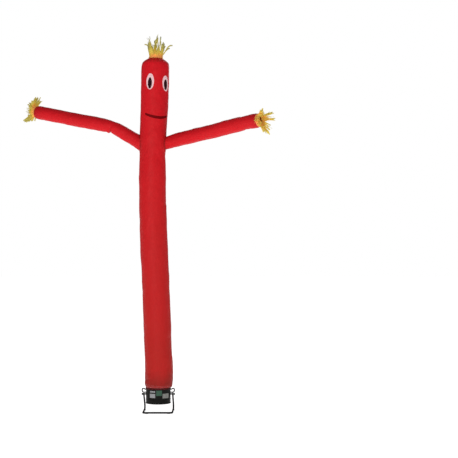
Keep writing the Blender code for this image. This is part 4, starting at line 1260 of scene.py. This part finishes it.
# %% Running stitch
def stitch_tree():
    """Sets a small flat thread loop down at every pitch along every line."""
    g = Grower("running_stitch", Pitch=0.009, Stitch=0.006, Thread=0.0011)
    lines = g.node("GeometryNodeMeshToCurve", {"Mesh": g.given["Geometry"]})[0]
    even = g.node("GeometryNodeResampleCurve", {"Curve": lines, "Length": g.given["Pitch"]}, mode="LENGTH")[0]
    tangent = g.node("GeometryNodeInputTangent")[0]
    turned = g.node("FunctionNodeAlignRotationToVector", {"Vector": tangent}, axis="X")[0]
    thread = g.node("GeometryNodeMeshIcoSphere", {"Radius": 0.5, "Subdivisions": 1})["Mesh"]
    sizes = {"X": g.given["Stitch"], "Y": g.given["Thread"], "Z": g.given["Thread"]}
    size = g.node("ShaderNodeCombineXYZ", sizes)[0]
    loop = {"Points": even, "Instance": thread, "Rotation": turned, "Scale": size}
    g.end(g.node("GeometryNodeInstanceOnPoints", loop)[0])
    return g


THREAD_RED = moulded("red_thread", (0.62, 0.06, 0.07), 0.7, grain=1500.0, depth=0.0002)
THREAD_PALE = moulded("pale_thread", (0.72, 0.42, 0.42), 0.7, grain=1500.0, depth=0.0002)
STITCH = stitch_tree()
FINE = {"Pitch": 0.007, "Stitch": 0.0045}
stitches = {}
for key, starts, thread, sizes in (
    ("face", ("eye", "pupil"), THREAD_PALE, FINE),
    ("mouth", ("mouth",), MAROON, FINE),
    ("casing", ("casing",), THREAD_PALE, {"Thread": 0.0016}),
    ("tube", ("back", "head", "hem"), THREAD_RED, {}),
    ("left", ("left_",), THREAD_RED, {}),
    ("right", ("right_",), THREAD_RED, {}),
):
    lines = [line for name, line in stitch_lines.items() if name.startswith(starts)]
    sewn = STITCH.grow(lines_mesh(lines), Material=thread, **sizes)
    stitches[key] = piece(f"stitches_{key}", sewn, thread, shaded=False)
print("stitches:", {name: triangles(made) for name, made in stitches.items()})

# %% [markdown]
# ## The blower's drum
# The drum is spun and rolled steel, so nearly every part of it is a turned shape: a profile swept
# round the axis. `eased` rounds the profile's corners first, because no real sheet edge is sharp,
# and the small rounds catch the light. The blower's parts are made round the upright axis through
# the origin, and `blower_piece` sets them down in their place.


# %% Turned parts
def eased(profile, radius):
    """The same open profile with its inner corners rounded."""
    points = [Vector(p) for p in profile]
    made = [points[0]]
    for before, corner, after in zip(points, points[1:], points[2:]):
        back, on = before - corner, after - corner
        reach = min(radius, 0.4 * back.length, 0.4 * on.length)
        if back.angle(on) > math.radians(172.0):
            made.append(corner)
            continue
        first, last = corner + back.normalized() * reach, corner + on.normalized() * reach
        for share in (0.0, 0.25, 0.5, 0.75, 1.0):
            made.append(first.lerp(corner, share).lerp(corner.lerp(last, share), share))
    made.append(points[-1])
    return made


def turned(profile, sides, ease=0.0, lobes=None):
    """Sweeps a profile of (radius, height) round the Z axis. lobes: (count, depth, from radius, to radius)."""
    rings = []
    for r, z in eased(profile, ease) if ease else profile:
        turns = [math.tau * i / sides for i in range(sides if r > 1e-6 else 1)]
        grips = [r] * len(turns)
        if lobes and r > lobes[2]:
            count, depth, low, high = lobes
            grips = [r - depth * (0.5 - 0.5 * math.cos(count * a)) * (r - low) / (high - low) for a in turns]
        rings.append([(grip * math.cos(a), grip * math.sin(a), z) for grip, a in zip(grips, turns)])
    return lofted(rings)


def shift(x=0.0, y=0.0, z=0.0):
    return Matrix.Translation((x, y, z))


def spin(degrees, axis):
    return Matrix.Rotation(math.radians(degrees), 4, axis)


def put(mesh, *moves):
    """The same mesh, moved by one matrix after another, the last one first."""
    for move in reversed(moves):
        mesh.transform(move)
    return mesh


def blower_piece(name, meshes, material, angle=35.0):
    """Several meshes as one piece on the blower, smooth but for its real edges."""
    mesh = put(from_bmesh(from_meshes(*meshes), outward=False), Matrix.Translation(BLOWER))
    return piece(name, mesh, material, angle)


DRUM_R, DRUM_LOW = 0.208, 0.152
DRUM_PROFILE = (
    (0.2055, 0.452), (0.2065, 0.4524), (0.208, 0.451), (0.208, 0.231), (0.211, 0.227), (0.211, 0.218),
    (0.208, 0.214), (0.208, 0.172), (0.2125, 0.168), (0.2125, 0.155), (0.2095, 0.152), (0.2013, 0.152),
    (0.2013, 0.1556), (0.197, 0.1556), (0.197, 0.159), (0.205, 0.17), (0.205, 0.45), (0.2055, 0.452),
)


def lap_seam():
    """The drum's wall is one rolled sheet: its overlap shows as an upright strip at the back."""
    turns = np.linspace(math.radians(168.0), math.radians(172.5), 6)
    lift = np.full((4, 6), 0.0001)
    lift[1:3, 1:5] = 0.001
    points = around(np.array((0.0, -1.0, 0.0)), np.array((1.0, 0.0, 0.0)), turns) * (DRUM_R + lift)[..., None]
    points[..., 2] = np.array((0.232, 0.2325, 0.396, 0.3965))[:, None]
    return from_lists(points, [], grid_faces(4, 6, False)[2].tolist())


drum_skin = blower_piece("drum_skin", [turned(DRUM_PROFILE, 160, 0.0012), lap_seam()], DRUM_PAINT)
MOTOR_FOOT = DRUM_LOW + 0.0036
MOTOR_PROFILE = [(r, MOTOR_FOOT + rise) for r, rise in (
    (0.0, 0.125), (0.0324, 0.125), (0.036, 0.115), (0.064, 0.111), (0.07, 0.103), (0.07, 0.004), (0.078, 0.004),
    (0.078, 0.0), (0.0, 0.0),
)]
motor_can = blower_piece("motor_can", [turned(MOTOR_PROFILE, 96, 0.002)], STEEL)
print("drum and motor:", triangles(drum_skin), triangles(motor_can), "triangles")

# %% [markdown]
# ## Parts that repeat
# Screws, rivets, the motor's cooling fins and the ribs of the inlet guard each repeat round a
# circle. One tree takes any small mesh and sets copies of it round the axis, so each part is
# modelled once, as it would be stamped or turned once.


# %% Ring tree
def ring_tree():
    """Copies of the given mesh, turned round the Z axis in equal steps."""
    g = Grower("ring_of_copies", Count=8, First=0.0)
    spots = {"Count": g.given["Count"], "Offset": (0.0, 0.0, 0.0)}
    points = g.node("GeometryNodeMeshLine", spots, mode="OFFSET")[0]
    number, pitch = g.node("GeometryNodeInputIndex")[0], g.calc("DIVIDE", math.tau, g.given["Count"])
    turn = g.node("ShaderNodeCombineXYZ", {"Z": g.calc("MULTIPLY_ADD", number, pitch, g.given["First"])})[0]
    copy = {"Points": points, "Instance": g.given["Geometry"], "Rotation": turn}
    copies = g.node("GeometryNodeInstanceOnPoints", copy)[0]
    real = g.node("GeometryNodeRealizeInstances", {"Geometry": copies})[0]
    g.end(g.node("GeometryNodeMergeByDistance", {"Geometry": real, "Distance": 0.00002})[0])
    return g


RING = ring_tree()


def ring_of(name, mesh, count, material, first=0.0, angle=35.0):
    """A ring of copies as one piece. The first copy is turned by first degrees."""
    ring = RING.grow(mesh, Count=count, First=math.radians(first), Material=material)
    return blower_piece(name, [ring], material, angle)


def bevelled_box(size, centre, bevel):
    """A small block with rounded edges."""
    bm = bmesh.new()
    bmesh.ops.create_cube(bm, size=1.0)
    bmesh.ops.scale(bm, vec=size, verts=bm.verts)
    bmesh.ops.bevel(bm, geom=bm.edges[:], offset=bevel, segments=2, affect="EDGES", profile=0.5)
    bmesh.ops.translate(bm, vec=centre, verts=bm.verts)
    return from_bmesh(bm, outward=False)


RIVET = ((0.0, 0.0014), (0.0016, 0.0012), (0.0028, 0.0006), (0.0033, 0.0), (0.0, 0.0))
SCREW = (
    (0.0, 0.001), (0.0012, 0.001), (0.0013, 0.0022), (0.0036, 0.002), (0.0046, 0.001), (0.0048, 0.0), (0.0, 0.0),
)
FIN = bevelled_box((0.0042, 0.0022, 0.086), (0.0719, 0.0, MOTOR_FOOT + 0.051), 0.0005)
fins = ring_of("motor_fins", FIN, 40, STEEL)
rivet = put(turned(RIVET, 10), shift(DRUM_R - 0.0001, 0.0, 0.192), spin(90.0, "Y"))  # stands out along +X
rivets = ring_of("drum_rivets", rivet, 16, DRUM_PAINT, first=11.25, angle=60.0)
screw = put(turned(SCREW, 12), shift(0.1955, 0.0, DRUM_LOW + 0.0004), spin(180.0, "X"))
guard_screws = ring_of("guard_screws", screw, 8, SCREW_STEEL, first=22.5)

GUARD_LOW, GUARD_THICK = DRUM_LOW + 0.0003, 0.003
GUARD_SLOTS = ((0.088, 0.134), (0.144, 0.19))
GUARD_RADII = (
    0.0, 0.07, 0.086, 0.088, 0.0895, 0.1325, 0.134, 0.1355, 0.1425, 0.144, 0.1455, 0.1885, 0.19, 0.1915,
    0.2005, 0.201,
)


def guard_sector(sides=28):
    """One eighth of the pressed guard: a wedge of plate with two slots, their edges rolled over."""
    bm, grid = bmesh.new(), {}
    for level in (0, 1):
        for k, r in enumerate(GUARD_RADII):
            for i in range(sides + 1):
                a = (math.pi / 4) * i / sides
                place = (r * math.cos(a), r * math.sin(a), GUARD_LOW + level * GUARD_THICK)
                grid[level, k, i] = bm.verts.new(place) if k or not i else grid[level, 0, 0]
    rim = len(GUARD_RADII) - 1
    cells = {(k, i) for k in range(rim) for i in range(sides)}
    rows = [k for k in range(rim) if any(low <= GUARD_RADII[k] < high for low, high in GUARD_SLOTS)]
    slots = {(k, i) for k in rows for i in range(2, sides - 2)}
    for k, i in sorted(cells):
        ring = ((k, i + 1), (k + 1, i + 1), (k + 1, i), (k, i))
        if (k, i) not in slots:
            for level in (0, 1):
                bm.faces.new(list(dict.fromkeys(grid[level, *corner] for corner in ring[:: 1 - 2 * level])))
        for (dk, di), a, b in zip(((0, 1), (1, 0), (0, -1), (-1, 0)), ring, ring[1:] + ring[:1]):
            beside = (k + dk, i + di)
            if (k, i) in slots and beside not in slots:
                bm.faces.new((grid[0, *a], grid[0, *b], grid[1, *b], grid[1, *a]))
            elif beside[0] == rim:
                bm.faces.new((grid[0, *b], grid[0, *a], grid[1, *a], grid[1, *b]))
    return from_bmesh(bm)


guard = ring_of("guard_pressing", guard_sector(), 8, STEEL)
print("rings:", [triangles(o) for o in (fins, rivets, guard_screws, guard)], "triangles")

# %% [markdown]
# ## Stand, knobs, handles and feet
# The stand is one bent tube. It comes down from the two pivots, lies along the floor and runs
# across the front. Knobs clamp the drum at the angle the wind needs, and rubber saddles keep the
# tube from sliding.


# %% Swept parts
def rounded_route(corners, step=6.0):
    """Points along straight runs joined by arcs. Each corner is (point, bend radius)."""
    route = [Vector(corners[0][0])]
    for (before, _), (corner, radius), (after, _) in zip(corners, corners[1:], corners[2:]):
        before, corner, after = Vector(before), Vector(corner), Vector(after)
        back, on = (before - corner).normalized(), (after - corner).normalized()
        half_angle = back.angle(on) / 2.0
        centre = corner + (back + on).normalized() * radius / math.sin(half_angle)
        first = corner + back * radius / math.tan(half_angle) - centre
        last = corner + on * radius / math.tan(half_angle) - centre
        steps = max(4, round(math.degrees(first.angle(last)) / step))
        for i in range(steps + 1):
            route.append(centre + first.normalized().slerp(last.normalized(), i / steps) * radius)
    route.append(Vector(corners[-1][0]))
    return route


def swept_mesh(route, radius, sides=24):
    """A round bar along a route, with slightly rounded ends."""
    tangents = [(b - a).normalized() for a, b in zip([route[0], *route[:-1]], [*route[1:], route[-1]])]
    start, end, inset = tangents[0], tangents[-1], 0.12 * radius
    stations = [(route[0], start, 0.8), (route[0] + start * inset, start, 0.97)]
    stations += [(point, tangent, 1.0) for point, tangent in zip(route[1:-1], tangents[1:-1])]
    stations += [(route[-1] - end * inset, end, 0.97), (route[-1], end, 0.8)]
    normal, rings = start.orthogonal().normalized(), []
    for point, tangent, share in stations:
        normal = (normal - tangent * normal.dot(tangent)).normalized()
        side = tangent.cross(normal)
        turns = [math.tau * i / sides for i in range(sides)]
        rings.append([point + (normal * math.cos(a) + side * math.sin(a)) * radius * share for a in turns])
    return lofted(rings, caps=True)


def bar_route(route, steps=5):
    """A few points of a bent bar, read as one soft curve."""
    route = np.array(route)
    places = lengths_of(route)
    wanted = np.linspace(0.0, places[-1], steps * (len(route) - 1) + 1)
    return zip(*(smooth(places, row, wanted) for row in route.T))


WIDE, PIVOT, TUBE_R, TUBE_Z = 0.245, 0.305, 0.0146, 0.0165
STAND_ROUTE = rounded_route((
    ((WIDE, 0.0, PIVOT), 0.0), ((WIDE, 0.355, TUBE_Z), 0.045), ((WIDE, -0.215, TUBE_Z), 0.03),
    ((-WIDE, -0.215, TUBE_Z), 0.03), ((-WIDE, 0.355, TUBE_Z), 0.045), ((-WIDE, 0.0, PIVOT), 0.0),
))
BARREL = ((0.0, 0.014), (0.018, 0.014), (0.018, -0.014), (0.0, -0.014))
BOSS = ((0.0, 0.231), (0.011, 0.2307), (0.013, 0.229), (0.013, 0.2083), (0.0, 0.2083))
KNOB = (
    (0.0, 0.0225), (0.006, 0.0225), (0.014, 0.0215), (0.019, 0.0185), (0.02, 0.015), (0.02, 0.0085),
    (0.017, 0.0055), (0.012, 0.003), (0.012, 0.0), (0.0, 0.0),
)
KNOB_LOBES = (8, 0.0028, 0.013, 0.02)
HANDLE_ROUTE = (
    (0.2083, 0.385), (0.22, 0.385), (0.24, 0.396), (0.258, 0.399), (0.27, 0.389), (0.2725, 0.364), (0.264, 0.344),
    (0.244, 0.335), (0.22, 0.335), (0.2083, 0.335),
)
HANDLE_ENDS = (0.385, 0.335)  # their heights
WASHER = ((0.0, 0.0016), (0.0125, 0.0016), (0.0135, 0.0), (0.0, 0.0))
GLAND = (
    (0.0, 0.2133), (0.0045, 0.2133), (0.0045, 0.2283), (0.008, 0.2283), (0.0086, 0.225), (0.0084, 0.2235),
    (0.0092, 0.2195), (0.009, 0.218), (0.0095, 0.2163), (0.013, 0.2163), (0.013, 0.2083), (0.0, 0.2083),
)
CHANNEL_R = 0.0149  # the feet grip the stand's tube


def saddle(x, y, degrees):
    """A rubber block with a half-round channel for the tube, drawn out along it."""
    turns = np.linspace(0.0, -math.pi, 17)
    channel = [(CHANNEL_R * math.cos(a), TUBE_Z + CHANNEL_R * math.sin(a)) for a in turns]
    flank = [(0.0168, 0.0), (0.018, 0.0012), (0.018, 0.0153), (0.017, 0.0165)]
    outline = [*flank, *channel, *((-across, z) for across, z in flank[::-1])]
    rings = []
    for along, share, foot in ((-0.023, 0.96, 0.0012), (-0.0218, 1.0, 0.0), (0.0218, 1.0, 0.0), (0.023, 0.96, 0.0012)):
        rings.append([(along, y * share if abs(y) > CHANNEL_R else y, max(z, foot)) for y, z in outline])
    return put(lofted(rings, caps=True), shift(x, y), spin(degrees, "Z"))


SIDES = ((-1, "left"), (1, "right"))
stand_parts = [swept_mesh(STAND_ROUTE, TUBE_R)]
bosses, knobs, handles, feet = {}, {}, {}, {}
for sign, side in SIDES:
    aim = spin(90.0 * sign, "Y")
    stand_parts.append(put(turned(BARREL, 48, 0.0015), shift(z=PIVOT), aim, shift(z=WIDE)))
    boss = put(turned(BOSS, 40, 0.001), shift(z=PIVOT), aim)
    knob = put(turned(KNOB, 96, 0.001, KNOB_LOBES), shift(z=PIVOT), aim, shift(z=WIDE + 0.0143))
    bar = swept_mesh([Vector((sign * out, 0.0, z)) for out, z in bar_route(HANDLE_ROUTE)], 0.0098, 20)
    washers = [put(turned(WASHER, 32, 0.0006), shift(z=z), aim, shift(z=DRUM_R + 0.0002)) for z in HANDLE_ENDS]
    bosses[side] = blower_piece(f"boss_{side}", [boss], DRUM_PAINT)
    knobs[side] = blower_piece(f"lobed_knob_{side}", [knob], PLASTIC)
    handles[side] = blower_piece(f"grab_handle_{side}", [bar, *washers], PLASTIC)
stand_tube = blower_piece("stand_tube", stand_parts, STAND_PAINT)
for x, y, degrees, row in ((0.186, -0.215, 0.0, "front"), (0.245, 0.19, 90.0, "back")):
    for sign, side in SIDES:
        block = saddle(sign * x, y, degrees)
        feet[f"{row}_{side}"] = blower_piece(f"saddle_{row}_{side}", [block], RUBBER)
gland = blower_piece("lead_gland", [put(turned(GLAND, 48, 0.0006), shift(z=0.25), spin(-90.0, "X"))], PLASTIC)
print("stand:", triangles(stand_tube), "knob:", triangles(knobs["left"]), "handle:", triangles(handles["left"]))

# %% Stickers
STICKERS = (  # name, azimuth, height, width, tallness, finish
    ("label_strip", -25.0, 0.364, 0.096, 0.026, WHITE_STICKER),
    ("label_left", -25.3, 0.296, 0.1, 0.07, WHITE_STICKER),
    ("label_green", 6.8, 0.342, 0.096, 0.088, GREEN_STICKER),
    ("label_right", 41.0, 0.292, 0.126, 0.078, DULL_STICKER),
)
STICKER_SHARES = np.array([0.0005, 0.25, 0.5, 0.75, 0.9, 0.985, 1.0, 1.0])
STICKER_RADII = np.array([0.209] * 6 + [0.2088, 0.2083])  # its edge comes down to the drum


def rounded_box(width, tallness, corner, steps=8):
    """Outline of a rectangle with rounded corners, anticlockwise."""
    made, fine = [], []
    for k, (sx, sz) in enumerate(((1, 1), (-1, 1), (-1, -1), (1, -1))):
        middle = np.array((sx * (0.5 * width - corner), sz * (0.5 * tallness - corner)))
        for a in (0.5 * math.pi * (k + i / steps) for i in range(steps + 1)):
            made.append(middle + corner * np.array((math.cos(a), math.sin(a))))
    for a, b in zip(made, made[1:] + made[:1]):
        count = max(1, round(math.dist(a, b) / 0.006))
        fine.extend(a + (b - a) * i / count for i in range(count))
    return np.array(fine)


stickers = {}
for name, azimuth, height, width, tallness, vinyl in STICKERS:
    flat = rounded_box(width, tallness, 0.005) * STICKER_SHARES[:, None, None]
    turn = math.radians(azimuth) + np.arcsin(flat[..., 0] / DRUM_R)
    out = around(np.array((0.0, -1.0, 0.0)), np.array((1.0, 0.0, 0.0)), turn)
    points = np.array(BLOWER) + out * STICKER_RADII[:, None, None]
    points[..., 2] += height + flat[..., 1]
    stickers[name] = piece(f"{name}_vinyl", disc_mesh(points, flat), vinyl)
print("stickers:", [triangles(o) for o in stickers.values()], "triangles")

# %% [markdown]
# ## Handing the pieces over
# Each piece is tied to the imported model: it rides on the model's root body, and the solid it
# stands for is hidden. The table also lists the finish slot of each. At the end the area of each
# sheet of cloth is printed, which tells anyone who sews it roughly how much cloth to buy.

# %% Hand over
STANDS_FOR = [  # piece, solid, finish slot
    (body_cloth, "body_tube", "red_cloth"),
    (head_cloth, "head_top", "red_cloth"),
    (sleeve_cloths["left"], "arm_left", "red_cloth"),
    (sleeve_cloths["right"], "arm_right", "red_cloth"),
    (mouth_cloth, "mouth", "maroon_cloth"),
    (fringes["hair"], "fringe_hair", "yellow_cloth"),
    (fringes["left_hand"], "fringe_left_hand", "yellow_cloth"),
    (fringes["right_hand"], "fringe_right_hand", "yellow_cloth"),
    (drum_skin, "drum", "black_drum"),
    (guard, "inlet_guard", "grey_metal"),
    (motor_can, "motor", "grey_metal"),
    (stand_tube, "stand", "black_stand"),
    (gland, "cord_gland", "black_plastic"),
]
STANDS_FOR += [(face_cloths[row[0]], row[0], "black_cloth" if row[-1] else "white_cloth") for row in FACE]
LABEL_SLOTS = {"label_green": "green_label"}
STANDS_FOR += [(made, name, LABEL_SLOTS.get(name, "white_label")) for name, made in stickers.items()]
for side in ("left", "right"):
    STANDS_FOR += [
        (bosses[side], f"pivot_boss_{side}", "black_drum"),
        (knobs[side], f"knob_{side}", "black_plastic"),
        (handles[side], f"handle_{side}", "black_plastic"),
        (feet[f"front_{side}"], f"foot_front_{side}", "black_rubber"),
        (feet[f"back_{side}"], f"foot_back_{side}", "black_rubber"),
    ]
THREAD_SLOTS = {"face": "white_cloth", "mouth": "maroon_cloth"}
EXTRAS = [(made, "yellow_cloth") for made in bands.values()]
EXTRAS += [(made, THREAD_SLOTS.get(name, "red_cloth")) for name, made in stitches.items()]
EXTRAS += [(fins, "grey_metal"), (rivets, "black_drum"), (guard_screws, "grey_metal")]
for made, node, slot_name in STANDS_FOR:
    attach(made, "root")
    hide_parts(node)
for made, slot_name in EXTRAS:
    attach(made, "root")
print("pieces handed over:", len(STANDS_FOR) + len(EXTRAS))

# %% Areas of the cloth
sheets = (body_cloth, head_cloth, *sleeve_cloths.values(), mouth_cloth)
print("cloth areas:", {o.name: round(sum(face.area for face in o.data.polygons), 4) for o in sheets})
